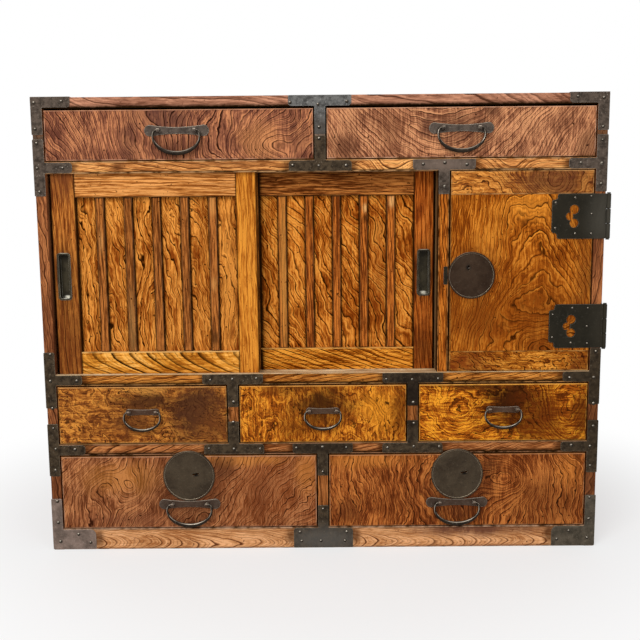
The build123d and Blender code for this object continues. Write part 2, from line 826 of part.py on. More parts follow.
def piercing(x, z):
    """Three round lobes run together, showing the wood below the leaf."""
    lobes = Pos(x, z + lobe_pitch) * Circle(lobe_radius_top)
    lobes += Pos(x - lobe_side_out, z) * Circle(lobe_radius_side)
    return lobes + Pos(x, z - lobe_pitch) * Circle(lobe_radius_bottom)


def hinge(z):
    """Door leaf, side leaf and pin of one hinge at height z."""
    half = hinge_height / 2
    third = hinge_height / 3
    cuts = [(z - half, z - half + third), (z - half + third, z + half - third), (z + half - third, z + half)]
    bore = Pos(pin_x, pin_y, z) * Cylinder(hinge_pin_radius + pin_clearance, hinge_height)
    clear = barrel_radius + knuckle_gap
    reach_y = pin_y + clear

    outline = Pos(pin_x - leaf_reach, 0) * stepped_leaf(leaf_reach, z)
    outline -= piercing(pin_x - lobe_from_pin, z)
    door_leaf = front_plate(outline, face, leaf_thick)
    notch_x = half_width - knuckle_gap
    door_leaf -= block(notch_x, pin_x + clear, face - 2 * leaf_thick, face + leaf_thick, cuts[1][0], cuts[1][1])
    for z0, z1 in (cuts[0], cuts[2]):
        door_leaf += knuckle(z0, z1)
    door_leaf -= bore

    flat = Pos(side_leaf_reach, 0) * mirror(stepped_leaf(side_leaf_reach, z), about=Plane.YZ)
    plane = Plane(origin=(half_width, pin_y, 0), x_dir=(0, 1, 0), z_dir=(1, 0, 0))
    side_leaf = extrude(plane * flat, leaf_thick)
    for z0, z1 in (cuts[0], cuts[2]):
        low = z0 - knuckle_gap
        high = z1 + knuckle_gap
        side_leaf -= block(half_width, half_width + leaf_thick, pin_y - clear, reach_y, low, high)
    side_leaf += knuckle(cuts[1][0] + knuckle_gap, cuts[1][1] - knuckle_gap)
    side_leaf -= bore

    pin = Pos(pin_x, pin_y, z) * Cylinder(hinge_pin_radius, hinge_height + 2 * knuckle_gap)
    for end in (-1, 1):
        middle = z + end * (half + knuckle_gap + pin_head_height / 2)
        pin += Pos(pin_x, pin_y, middle) * Cylinder(pin_head_radius, pin_head_height)
    return door_leaf, side_leaf, pin


hinges = [hinge(door_floor + rise) for rise in (lower_hinge_rise, upper_hinge_rise)]
add("hinge_door_leaves", *[h[0] for h in hinges])
add("hinge_side_leaves", *[h[1] for h in hinges])
add("hinge_pins", *[h[2] for h in hinges])


os.makedirs("parts", exist_ok=True)
for name, solids in nodes.items():
    export_step(Compound(children=solids), os.path.join("parts", name + ".step"))
    print(name, len(solids))
print("nodes", len(nodes))
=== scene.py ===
"""Dressing of a low merchant's chest: lacquered zelkova, forged irons and drop bails on the CAD frame."""

import logging
import math
import random
from dataclasses import dataclass, field
from enum import Enum
from functools import partial, reduce
from typing import Any, Callable, Optional, Sequence, Union

import bmesh
import bpy
from mathutils import Matrix, Vector


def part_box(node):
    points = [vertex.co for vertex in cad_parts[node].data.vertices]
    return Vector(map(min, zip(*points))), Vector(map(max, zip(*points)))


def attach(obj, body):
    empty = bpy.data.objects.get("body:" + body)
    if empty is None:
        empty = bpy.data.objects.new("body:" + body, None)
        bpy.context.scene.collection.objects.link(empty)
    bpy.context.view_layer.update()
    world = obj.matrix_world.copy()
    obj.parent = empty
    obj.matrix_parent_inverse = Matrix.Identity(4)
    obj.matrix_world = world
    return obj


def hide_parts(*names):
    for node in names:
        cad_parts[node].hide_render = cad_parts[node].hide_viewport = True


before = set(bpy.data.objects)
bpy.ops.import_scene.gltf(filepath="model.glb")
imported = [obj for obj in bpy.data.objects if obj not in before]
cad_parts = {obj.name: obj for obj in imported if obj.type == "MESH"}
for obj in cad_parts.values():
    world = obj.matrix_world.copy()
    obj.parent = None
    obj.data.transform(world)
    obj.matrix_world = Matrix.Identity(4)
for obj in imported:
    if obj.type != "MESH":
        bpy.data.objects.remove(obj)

LOG = logging.getLogger("chest")
MM = 0.001
SEED = 1877

# Faces that the nails are driven into, and the line of the bails' pivots, in millimetres
IRON_Y = -200.0
LEAF_Y = -201.3
BAIL_Y = -205.3
BACK_Y = 199.0
SIDE_X = 440.0
HINGE_SIDE_X = 441.0

# Past every edge of the chest: a reach in millimetres, then a distance and a corner in metres
ENDLESS = 100000.0
PAST_EDGE = 10.0
FAR_CORNER = Vector((5.0, 5.0, 5.0))

# Least share of a face's normal along an axis for the face to look that way
SQUARE_ON = 0.7

# Painted shadow along the low edge of a board, and the darker patch beside the end of an iron
LOW_EDGE_SHADE = (10, 5, 2)
IRON_GRIME = (58, 28, 12)

Socket = bpy.types.NodeSocket
Value = Union[float, Socket]
Inputs = dict[Union[int, str], Any]
Shade = tuple[int, int, int]
Point = tuple[float, float, float]
Ridge = tuple[Point, float]
Station = tuple[float, float, float, float]
Picker = Callable[[Vector, Vector], int]


def linear(shade: Shade) -> tuple[float, float, float, float]:
    """Turn a colour written as it looks on a screen into shader values.

    Args:
        shade: Red, green and blue from 0 to 255.

    Returns:
        The linear colour with full alpha.
    """
    values = []
    for part in shade:
        c = part / 255
        values.append(c / 12.92 if c <= 0.04045 else ((c + 0.055) / 1.055) ** 2.4)
    return (*values, 1.0)


def metres(point: Point) -> Point:
    """Turn a point in millimetres into metres."""
    return (point[0] * MM, point[1] * MM, point[2] * MM)


class Wiring:
    """Places nodes in one tree and joins them."""

    def __init__(self, tree: bpy.types.NodeTree) -> None:
        """Keep the tree that the nodes go into."""
        self.tree = tree

    def fill(self, node: bpy.types.Node, inputs: Inputs) -> bpy.types.Node:
        """Link a node's inputs to other sockets, or set their own values.

        Args:
            node: The node.
            inputs: Sockets and plain values by the input's name or number.

        Returns:
            The same node.
        """
        for key, value in inputs.items():
            if isinstance(value, bpy.types.NodeSocket):
                self.tree.links.new(value, node.inputs[key])
            else:
                node.inputs[key].default_value = value
        return node

    def node(self, kind: str, inputs: Inputs, **settings: Any) -> bpy.types.Node:
        """Add one node.

        Args:
            kind: Blender's name for the kind of node.
            inputs: Sockets and plain values by the input's name or number.
            settings: Properties set on the new node.

        Returns:
            The new node.
        """
        made = self.tree.nodes.new(kind)
        for key, value in settings.items():
            setattr(made, key, value)
        return self.fill(made, inputs)

    def math(self, operation: str, *values: Value, clamp: bool = False) -> Socket:
        """Do a sum with numbers or sockets."""
        inputs = dict(enumerate(values))
        return self.node("ShaderNodeMath", inputs, operation=operation, use_clamp=clamp).outputs[0]

    def times(self, *values: Value) -> Socket:
        """Multiply two or more values in order."""
        return reduce(partial(self.math, "MULTIPLY"), values)

    def vector(self, operation: str, *values: Any) -> Socket:
        """Do a sum with vectors, which gives a number for a length or a dot product."""
        made = self.node("ShaderNodeVectorMath", dict(enumerate(values)), operation=operation)
        return made.outputs["Value" if operation in ("LENGTH", "DOT_PRODUCT") else "Vector"]

    def parts(self, vector: Socket) -> tuple[Socket, ...]:
        """Split a vector into its three numbers."""
        return tuple(self.node("ShaderNodeSeparateXYZ", {0: vector}).outputs)

    def join(self, *values: Value) -> Socket:
        """Join three numbers into a vector."""
        return self.node("ShaderNodeCombineXYZ", dict(enumerate(values))).outputs[0]

    def away(self, place: Socket, centre: Socket, reach: Socket) -> Socket:
        """Measure how far a place is from a centre, with 1 at the reach."""
        return self.vector("LENGTH", self.vector("DIVIDE", self.vector("SUBTRACT", place, centre), reach))

    def noise_node(self, place: Socket, scale: Value, detail: float, rough: float) -> bpy.types.Node:
        """Add a noise texture.

        Args:
            place: Where the noise is read.
            scale: Features per metre.
            detail: Octaves.
            rough: Strength of the finer octaves.

        Returns:
            The node.
        """
        inputs = {"Vector": place, "Scale": scale, "Detail": detail, "Roughness": rough}
        return self.node("ShaderNodeTexNoise", inputs, noise_dimensions="3D")

    def noise(self, place: Socket, scale: Value, detail: float = 2.0, rough: float = 0.5) -> Socket:
        """Give a noise from 0 to 1, mostly near the middle."""
        return self.noise_node(place, scale, detail, rough).outputs[0]

    def sway(self, place: Socket, scale: Value, detail: float = 2.0, rough: float = 0.5) -> Socket:
        """Give a noise that swings about 0."""
        return self.math("SUBTRACT", self.noise(place, scale, detail, rough), 0.5)

    def push(self, place: Socket, scale: Value) -> Socket:
        """Give a noise of three numbers about 0, for pushing places about."""
        cloud = self.noise_node(place, scale, 1.0, 0.5).outputs["Color"]
        return self.vector("SUBTRACT", cloud, (0.5, 0.5, 0.5))

    def random(self, number: Socket) -> Socket:
        """Give a steady random value from 0 to 1 for each number."""
        return self.node("ShaderNodeTexWhiteNoise", {"W": number}, noise_dimensions="1D").outputs[0]

    def smooth(self, value: Socket, low: Value, high: Value) -> Socket:
        """Ease from 0 at low to 1 at high."""
        inputs = {"Value": value, "From Min": low, "From Max": high}
        return self.node("ShaderNodeMapRange", inputs, interpolation_type="SMOOTHSTEP").outputs[0]

    def fade(self, value: Socket, low: Value, high: Value) -> Socket:
        """Ease from 1 at low to 0 at high."""
        return self.math("SUBTRACT", 1.0, self.smooth(value, low, high))

    def scaled(self, value: Socket, low: float, high: float) -> Socket:
        """Spread a value from 0 to 1 over another range."""
        return self.math("MULTIPLY_ADD", value, high - low, low)

    def mix(self, factor: Value, first: Any, second: Any) -> Socket:
        """Mix two colours by the share of the second."""
        inputs = {0: factor, 6: first, 7: second}
        return self.node("ShaderNodeMix", inputs, data_type="RGBA", blend_type="MIX").outputs[2]

    def bump(self, height: Socket, strength: float, depth: float, **below: Socket) -> Socket:
        """Give the normal of a relief, its depth in millimetres, on the surface or on a Normal below."""
        inputs = {"Height": height, "Strength": strength, "Distance": depth * MM, **below}
        return self.node("ShaderNodeBump", inputs).outputs[0]

    def seen(self) -> Socket:
        """Tell a ray that looks, straight, mirrored or through glass, from one that lights.

        Returns:
            1 for a ray that looks and 0 for one that lights.
        """
        path = self.node("ShaderNodeLightPath", {}).outputs
        direct = self.math("MAXIMUM", path["Is Camera Ray"], path["Is Glossy Ray"])
        return self.math("MAXIMUM", direct, path["Is Transmission Ray"])


def new_finish(title: str) -> tuple[bpy.types.Material, Wiring, bpy.types.Node]:
    """Start a material.

    Args:
        title: Name of the finish.

    Returns:
        The material, the wiring of its nodes and its shader.
    """
    made = bpy.data.materials.new(title)
    made.use_nodes = True
    return made, Wiring(made.node_tree), made.node_tree.nodes["Principled BSDF"]


class SharedGroup:
    """A shader node group that is built once and placed in each material with its own values."""

    title = ""
    takes: dict[str, tuple[str, ...]] = {}
    gives: dict[str, tuple[str, ...]] = {}

    def draw(self, w: Wiring, given: dict[str, Socket]) -> dict[str, Socket]:
        """Wire the inside of the group.

        Args:
            w: Wiring of the group's own tree.
            given: The group's inputs by name.

        Returns:
            The sockets for the group's outputs by name.
        """
        raise NotImplementedError

    def tree(self) -> bpy.types.NodeTree:
        """Build the group at its first use.

        Returns:
            The group's tree.
        """
        found = bpy.data.node_groups.get(self.title)
        if found is not None:
            return found
        made = bpy.data.node_groups.new(self.title, "ShaderNodeTree")
        for way, kinds in (("INPUT", self.takes), ("OUTPUT", self.gives)):
            for kind, names in kinds.items():
                for name in names:
                    made.interface.new_socket(name=name, in_out=way, socket_type="NodeSocket" + kind)
        w = Wiring(made)
        inlet = w.node("NodeGroupInput", {})
        given = {name: inlet.outputs[name] for names in self.takes.values() for name in names}
        w.node("NodeGroupOutput", self.draw(w, given))
        return made

    def place(self, w: Wiring, **values: Any) -> bpy.types.Node:
        """Put the group in a material.

        Args:
            w: Wiring of the material.
            values: Inputs by name, with _ for each space.

        Returns:
            The group's node.
        """
        inputs = {key.replace("_", " "): value for key, value in values.items()}
        return w.node("ShaderNodeGroup", inputs, node_tree=self.tree())


class RingFigure(SharedGroup):
    """Growth rings of a sawn board: dark pore lines along the contours of a leaning, wandering field."""

    title = "ring_figure"
    takes = {
        "Vector": ("Place",),
        "Float": (
            "Along", "Cross", "Depth", "Arch", "Arch Line", "Wander", "Wander Size", "Stretch", "Ripple",
            "Warp", "Warp Size", "Swirl", "Line Width", "Strips", "Strip Pitch", "Strip Start",
            "Strip Change", "Seed",
        ),
    }
    gives = {"Float": ("Line", "Rise", "Tone", "Fibre", "Aside")}

    # Shift of the figure from one board to the next and from one strip to the next, along each axis
    seed_shift = (1.7, 0.83, -1.3)
    strip_shift = (0.631, 0.217, 0.293)
    strip_rings = 3.37
    strip_lean = 0.9
    rings_before = 200.0

    # Sizes are features per metre, and the rest says how many or how strong
    jag_size = 260.0
    jag_share = 0.12
    pit_size = 210.0
    pit_strength = 0.8
    hair_size = 520.0
    flow_size = 18.0
    late_lines = 3.0
    late_strength = 0.62

    def rings(self, w: Wiring, given: dict[str, Socket], bent: Socket, strip: Socket, slim: Socket,
              jag: Socket) -> Socket:
        """Count the rings from the heart of the tree to a place on the board.

        Args:
            w: Wiring of the group.
            given: The group's inputs.
            bent: The place, pushed about.
            strip: Number of the strip that the place is on.
            slim: The place in a field that is stretched along the grain.
            jag: Fine unevenness.

        Returns:
            The count, with its parts between two rings.
        """
        x, y, z = w.parts(bent)
        size = given["Wander Size"]
        arch_line = w.math("MULTIPLY_ADD", strip, given["Strip Pitch"], given["Arch Line"])
        arch_y = w.math("SUBTRACT", y, arch_line)
        lean = w.math("MULTIPLY_ADD", w.math("SINE", w.times(strip, 2.1)), self.strip_lean, 1.0)
        rings = w.times(x, given["Along"], lean)
        for part, share in (
            (y, given["Cross"]),
            (z, given["Depth"]),
            (w.times(arch_y, arch_y), given["Arch"]),
            (w.sway(slim, size, 1.5, 0.45), w.times(given["Wander"], 2.0)),
            (w.sway(slim, w.times(size, 4.3)), w.times(given["Ripple"], 2.0)),
            (jag, self.jag_share),
        ):
            rings = w.math("MULTIPLY_ADD", part, share, rings)
        rings = w.math("ADD", w.math("ADD", rings, given["Swirl"]), self.rings_before)
        return w.math("MULTIPLY_ADD", strip, self.strip_rings, rings)

    def lines(self, w: Wiring, given: dict[str, Socket], rings: Socket, spot: Socket, slim: Socket,
              jag: Socket) -> Socket:
        """Draw the pore lines, the fainter late lines between them and the pits.

        Args:
            w: Wiring of the group.
            given: The group's inputs.
            rings: The count of rings.
            spot: The place in the board's own field.
            slim: The place in a field that is stretched along the grain.
            jag: Fine unevenness.

        Returns:
            How dark the lines are, from 0 to 1.
        """
        size = given["Wander Size"]
        saw = w.math("FRACT", rings)
        bold = w.scaled(w.random(w.math("FLOOR", rings)), 0.35, 1.0)
        pores = w.math("MAXIMUM", w.fade(saw, 0.0, given["Line Width"]), w.smooth(saw, 0.94, 1.0))
        broken = w.scaled(w.noise(slim, w.times(size, 2.1)), 0.1, 2.1)
        line = w.math("MULTIPLY", w.times(pores, bold), w.times(broken, 1.35), clamp=True)
        late = w.math("FRACT", w.math("MULTIPLY_ADD", rings, self.late_lines, w.times(jag, 0.7)))
        faint = w.smooth(w.noise(slim, w.times(size, 3.1)), 0.32, 0.62)
        line = w.math("MAXIMUM", line, w.times(w.fade(late, 0.0, 0.45), faint, self.late_strength))
        pits = w.smooth(w.noise(spot, self.pit_size, 1.0), 0.69, 0.76)
        return w.math("MAXIMUM", line, w.times(pits, self.pit_strength))

    def fibre(self, w: Wiring, rings: Socket, bent: Socket, spot: Socket) -> Socket:
        """Draw the fine fibre, half of it straight and half along the rings.

        Args:
            w: Wiring of the group.
            rings: The count of rings.
            bent: The place, pushed about.
            spot: The place in the board's own field.

        Returns:
            The fibre from 0 to 1.
        """
        x, y, _ = w.parts(bent)
        hair = w.noise(w.vector("MULTIPLY", spot, (0.07, 1.0, 1.0)), self.hair_size, 3.0, 0.65)
        run = w.join(w.times(rings, 3.0), w.times(x, self.flow_size), w.times(y, self.flow_size))
        return w.math("MULTIPLY_ADD", hair, 0.5, w.times(w.noise(run, 1.0, 3.0, 0.62), 0.5))

    def draw(self, w: Wiring, given: dict[str, Socket]) -> dict[str, Socket]:
        """Wire the rings, the rise between two of them, the slow change of tone and the fine fibre.

        Args:
            w: Wiring of the group's own tree.
            given: The group's inputs by name.

        Returns:
            The sockets for the group's outputs by name.
        """
        across = w.parts(given["Place"])[1]
        from_start = w.math("SUBTRACT", across, given["Strip Start"])
        count = w.math("FLOOR", w.times(from_start, given["Strips"]))
        strip = w.times(count, given["Strip Change"])
        shift = w.join(*(
            w.math("MULTIPLY_ADD", strip, by_strip, w.times(given["Seed"], by_seed))
            for by_strip, by_seed in zip(self.strip_shift, self.seed_shift)))
        push = w.push(w.vector("ADD", given["Place"], shift), given["Warp Size"])
        bent = w.vector("MULTIPLY_ADD", push, w.join(given["Warp"], given["Warp"], 0.0), given["Place"])
        spot = w.vector("ADD", bent, shift)
        slim = w.vector("MULTIPLY", spot, w.join(w.math("DIVIDE", 1.0, given["Stretch"]), 1.0, 1.0))
        jag = w.sway(w.vector("MULTIPLY", spot, (0.3, 1.0, 1.0)), self.jag_size)
        rings = self.rings(w, given, bent, strip, slim, jag)
        half_on = w.math("ADD", count, 0.5)
        middle = w.math("MULTIPLY_ADD", half_on, given["Strip Pitch"], given["Strip Start"])
        return {
            "Line": self.lines(w, given, rings, spot, slim, jag),
            "Rise": w.math("FRACT", rings),
            "Tone": w.noise(slim, w.times(given["Wander Size"], 2.4), 6.0, 0.72),
            "Fibre": self.fibre(w, rings, bent, spot),
            "Aside": w.math("ABSOLUTE", w.math("SUBTRACT", across, middle)),
        }


class LacquerColour(SharedGroup):
    """Colour, gloss and relief of lacquered wood from its figure."""

    title = "lacquer_colour"
    takes = {
        "Float": ("Line", "Rise", "Tone", "Fibre", "Strength", "Streak", "Roughness"),
        "Color": ("Light", "Middle", "Dark"),
    }
    gives = {"Color": ("Ground",), "Float": ("Pores", "Roughness", "Height")}

    def draw(self, w: Wiring, given: dict[str, Socket]) -> dict[str, Socket]:
        """Wire the ground, the share of pores in it and the gloss that they break.

        Args:
            w: Wiring of the group's own tree.
            given: The group's inputs by name.

        Returns:
            The sockets for the group's outputs by name.
        """
        fibre = w.math("SUBTRACT", given["Fibre"], 0.5)
        slope = w.times(w.math("SUBTRACT", given["Rise"], 0.5), given["Strength"])
        tone = w.math("MULTIPLY_ADD", slope, 0.09, given["Tone"])
        tone = w.math("MULTIPLY_ADD", fibre, given["Streak"], tone)
        ground = w.mix(w.smooth(tone, 0.30, 0.49), given["Dark"], given["Middle"])
        ground = w.mix(w.smooth(tone, 0.49, 0.66), ground, given["Light"])
        line = w.math("MULTIPLY", given["Line"], given["Strength"], clamp=True)
        rough = w.math("MULTIPLY_ADD", line, 0.16, given["Roughness"])
        rough = w.math("MULTIPLY_ADD", fibre, -0.1, rough)
        height = w.math("MULTIPLY_ADD", line, -0.7, w.times(fibre, 0.6))
        return {"Ground": ground, "Pores": line, "Roughness": rough, "Height": height}


class RingSwirl(SharedGroup):
    """A rise of the rings round one spot, which closes their lines into ovals."""

    title = "ring_swirl"
    takes = {"Vector": ("Place", "Centre", "Reach"), "Float": ("Lift", "Before")}
    gives = {"Float": ("Swirl",)}

    def draw(self, w: Wiring, given: dict[str, Socket]) -> dict[str, Socket]:
        """Wire a smooth hill over the spot.

        Args:
            w: Wiring of the group's own tree.
            given: The group's inputs by name.

        Returns:
            The sockets for the group's outputs by name.
        """
        away = w.away(given["Place"], given["Centre"], given["Reach"])
        hill = w.math("POWER", math.e, w.times(away, away, -1.0))
        return {"Swirl": w.math("MULTIPLY_ADD", hill, given["Lift"], given["Before"])}


class HandStain(SharedGroup):
    """A cloudy patch of other colour round one spot, as hands, smoke and old lacquer leave it, and also
    painted shade and highlights.
    """

    title = "hand_stain"
    takes = {
        "Color": ("Color", "Stain"), "Vector": ("Place", "Centre", "Reach"), "Float": ("Strength", "Cloud"),
    }
    gives = {"Color": ("Color",)}
    cloud_size = 26.0
    grain_size = 240.0

    def draw(self, w: Wiring, given: dict[str, Socket]) -> dict[str, Socket]:
        """Wire the patch with a broken edge.

        Args:
            w: Wiring of the group's own tree.
            given: The group's inputs by name.

        Returns:
            The sockets for the group's outputs by name.
        """
        away = w.away(given["Place"], given["Centre"], given["Reach"])
        cloud = w.sway(given["Place"], self.cloud_size, 6.0, 0.66)
        mask = w.fade(w.math("MULTIPLY_ADD", cloud, w.times(given["Cloud"], 1.4), away), 0.05, 1.25)
        grain = w.noise(w.vector("MULTIPLY", given["Place"], (1.0, 1.0, 0.35)), self.grain_size, 3.0, 0.65)
        mask = w.math("MULTIPLY", mask, w.scaled(grain, 0.7, 1.5), clamp=True)
        return {"Color": w.mix(w.times(mask, given["Strength"]), given["Color"], given["Stain"])}


class BoardRim(SharedGroup):
    """Dirt with painted shade towards a board's edges, a paler line of wear and painted highlight, and a
    painted highlight on the top edge.
    """

    title = "board_rim"
    takes = {
        "Color": ("Color", "Bright"), "Vector": ("Place", "Low", "High"),
        "Float": ("Inside", "Width", "Grime", "Rub", "Crest"),
    }
    gives = {"Color": ("Color",)}
    soot = (0.012, 0.004, 0.001, 1.0)
    patch_size = 42.0
    wear_size = 60.0

    # Where the paler edge line and the painted top-edge highlight start to fade and where they end, in
    # metres from the edge
    rub_line = (0.0008, 0.0022)
    crest_line = (0.0006, 0.0022)

    def draw(self, w: Wiring, given: dict[str, Socket]) -> dict[str, Socket]:
        """Wire the distance to the nearest edge and the tints that follow it.

        Args:
            w: Wiring of the group's own tree.
            given: The group's inputs by name.

        Returns:
            The sockets for the group's outputs by name.
        """
        below = w.parts(w.vector("SUBTRACT", given["Place"], given["Low"]))
        above = w.parts(w.vector("SUBTRACT", given["High"], given["Place"]))
        near = given["Inside"]
        for other in (*below, *above):
            near = w.math("MINIMUM", near, other)
        patchy = w.noise(given["Place"], self.patch_size, 4.0, 0.6)
        wide = w.times(given["Width"], w.scaled(patchy, 0.3, 2.0))
        # dirt with painted shade, deepest at the nearest edge
        grime = w.times(w.fade(near, 0.0, wide), given["Grime"])
        colour = w.mix(grime, given["Color"], self.soot)
        worn = w.noise(given["Place"], self.wear_size, 3.0)
        # a paler line of wear with painted highlight, and a painted highlight along the top edge
        line = w.times(w.fade(near, *self.rub_line), w.smooth(worn, 0.36, 0.60), given["Rub"])
        crest = w.times(w.fade(above[2], *self.crest_line), w.smooth(worn, 0.15, 0.55), given["Crest"])
        return {"Color": w.mix(w.math("MAXIMUM", line, crest), colour, given["Bright"])}


class ForgedSkin(SharedGroup):
    """Skin of old forged sheet: patches of patina, pits, bright specks, worn edges with painted highlights,
    and hammer marks.
    """

    title = "forged_skin"
    takes = {
        "Vector": ("Place",), "Color": ("Ground", "Patch", "Worn"),
        "Float": ("Patch Size", "Specks", "Edge", "Roughness"),
    }
    gives = {"Color": ("Color",), "Float": ("Roughness", "Height")}
    forge_scale = (0.008, 0.006, 0.005, 1.0)
    pit_size = 620.0
    speck_size = 300.0
    rub_size = 130.0
    hammer_size = 75.0

    def draw(self, w: Wiring, given: dict[str, Socket]) -> dict[str, Socket]:
        """Wire the patches, the worn edges with the painted highlights, and the relief.

        Args:
            w: Wiring of the group's own tree.
            given: The group's inputs by name.

        Returns:
            The sockets for the group's outputs by name.
        """
        place = given["Place"]
        patch = w.smooth(w.noise(place, given["Patch Size"], 6.0, 0.70), 0.36, 0.64)
        colour = w.mix(patch, given["Ground"], given["Patch"])
        pits = w.smooth(w.noise(place, self.pit_size, 3.0, 0.6), 0.58, 0.72)
        colour = w.mix(w.times(pits, 0.6), colour, self.forge_scale)
        specks = w.smooth(w.noise(place, self.speck_size), 0.60, 0.72)
        colour = w.mix(w.times(specks, given["Specks"]), colour, given["Worn"])
        uneven = w.scaled(w.noise(place, self.rub_size, 3.0), 0.1, 1.5)
        # worn edges, and the painted highlights that come in with them
        rubbed = w.math("MULTIPLY", given["Edge"], uneven, clamp=True)
        colour = w.mix(rubbed, colour, given["Worn"])
        rough = w.math("MULTIPLY_ADD", patch, 0.14, given["Roughness"])
        rough = w.math("MULTIPLY_ADD", rubbed, -0.16, rough)
        height = w.math("MULTIPLY_ADD", pits, -0.25, w.noise(place, self.hammer_size))
        return {"Color": colour, "Roughness": rough, "Height": height}


RINGS = RingFigure()
LACQUER = LacquerColour()
SWIRL = RingSwirl()
STAIN = HandStain()
RIM = BoardRim()
SKIN = ForgedSkin()


class Lie(Enum):
    """How a board lies: the axes along its grain, across its face and through its thickness."""

    FRONT_ACROSS = (0, 2, 1)
    FRONT_UP = (2, 0, 1)
    SIDE_UP = (2, 1, 0)
    SIDE_DEEP = (1, 2, 0)
    FLAT_ACROSS = (0, 1, 2)


@dataclass(frozen=True)
class Stain:
    """One cloudy patch, for a real stain as well as for painted shade and highlights, in millimetres
    across, up and, where it has an end that way, from front to back.
    """

    x: float
    z: float
    wide: float
    high: float
    shade: Shade = (58, 34, 24)
    strength: float = 0.75
    cloud: float = 1.1
    y: float = 0.0
    deep: float = ENDLESS

    def over(self, w: Wiring, colour: Socket, place: Socket) -> Socket:
        """Lay the patch over a colour.

        Args:
            w: Wiring of the material.
            colour: The colour below.
            place: The place on the piece.

        Returns:
            The colour with the patch.
        """
        centre = metres((self.x, self.y, self.z))
        reach = metres((self.wide, self.deep, self.high))
        return STAIN.place(
            w, Color=colour, Place=place, Centre=centre, Reach=reach, Stain=linear(self.shade),
            Strength=self.strength, Cloud=self.cloud,
        ).outputs[0]


def pull_marks(x: float) -> tuple[Stain, ...]:
    """Give the painted light of the pull at x: painted shade in the hollow under its upper rim, and painted
    highlights on its lower and upper rims.

    Args:
        x: Middle of the pull, in millimetres.

    Returns:
        The three marks.
    """
    return (
        Stain(x, 476, 9, 12, (20, 16, 10), 0.7, 0.4),
        Stain(x + 1, 413, 6, 2.6, (232, 226, 208), 1.0, 0.3),
        Stain(x, 483, 11, 1.6, (196, 186, 164), 0.9, 0.2),
    )


def halos(up: float, *ends: float) -> tuple[Stain, ...]:
    """Give the darker patches on a rail beside the ends of its irons."""
    return tuple(Stain(end, up, 11, 20, IRON_GRIME, 0.75, 0.8) for end in ends)


@dataclass(frozen=True)
class Swirl:
    """One spot that the rings close round, in millimetres across and up, and how many rings it lifts."""

    x: float
    z: float
    wide: float
    high: float
    lift: float


@dataclass(frozen=True)
class Rim:
    """Edges of a board: width of the dirt and painted shade in millimetres, and how strong each of its
    marks is.
    """

    width: float = 3.0
    # dirt with painted shade
    grime: float = 0.6
    # paler line along the edges: partly wear, partly painted highlight
    rub: float = 0.5
    # painted highlight along the top edge
    crest: float = 0.0


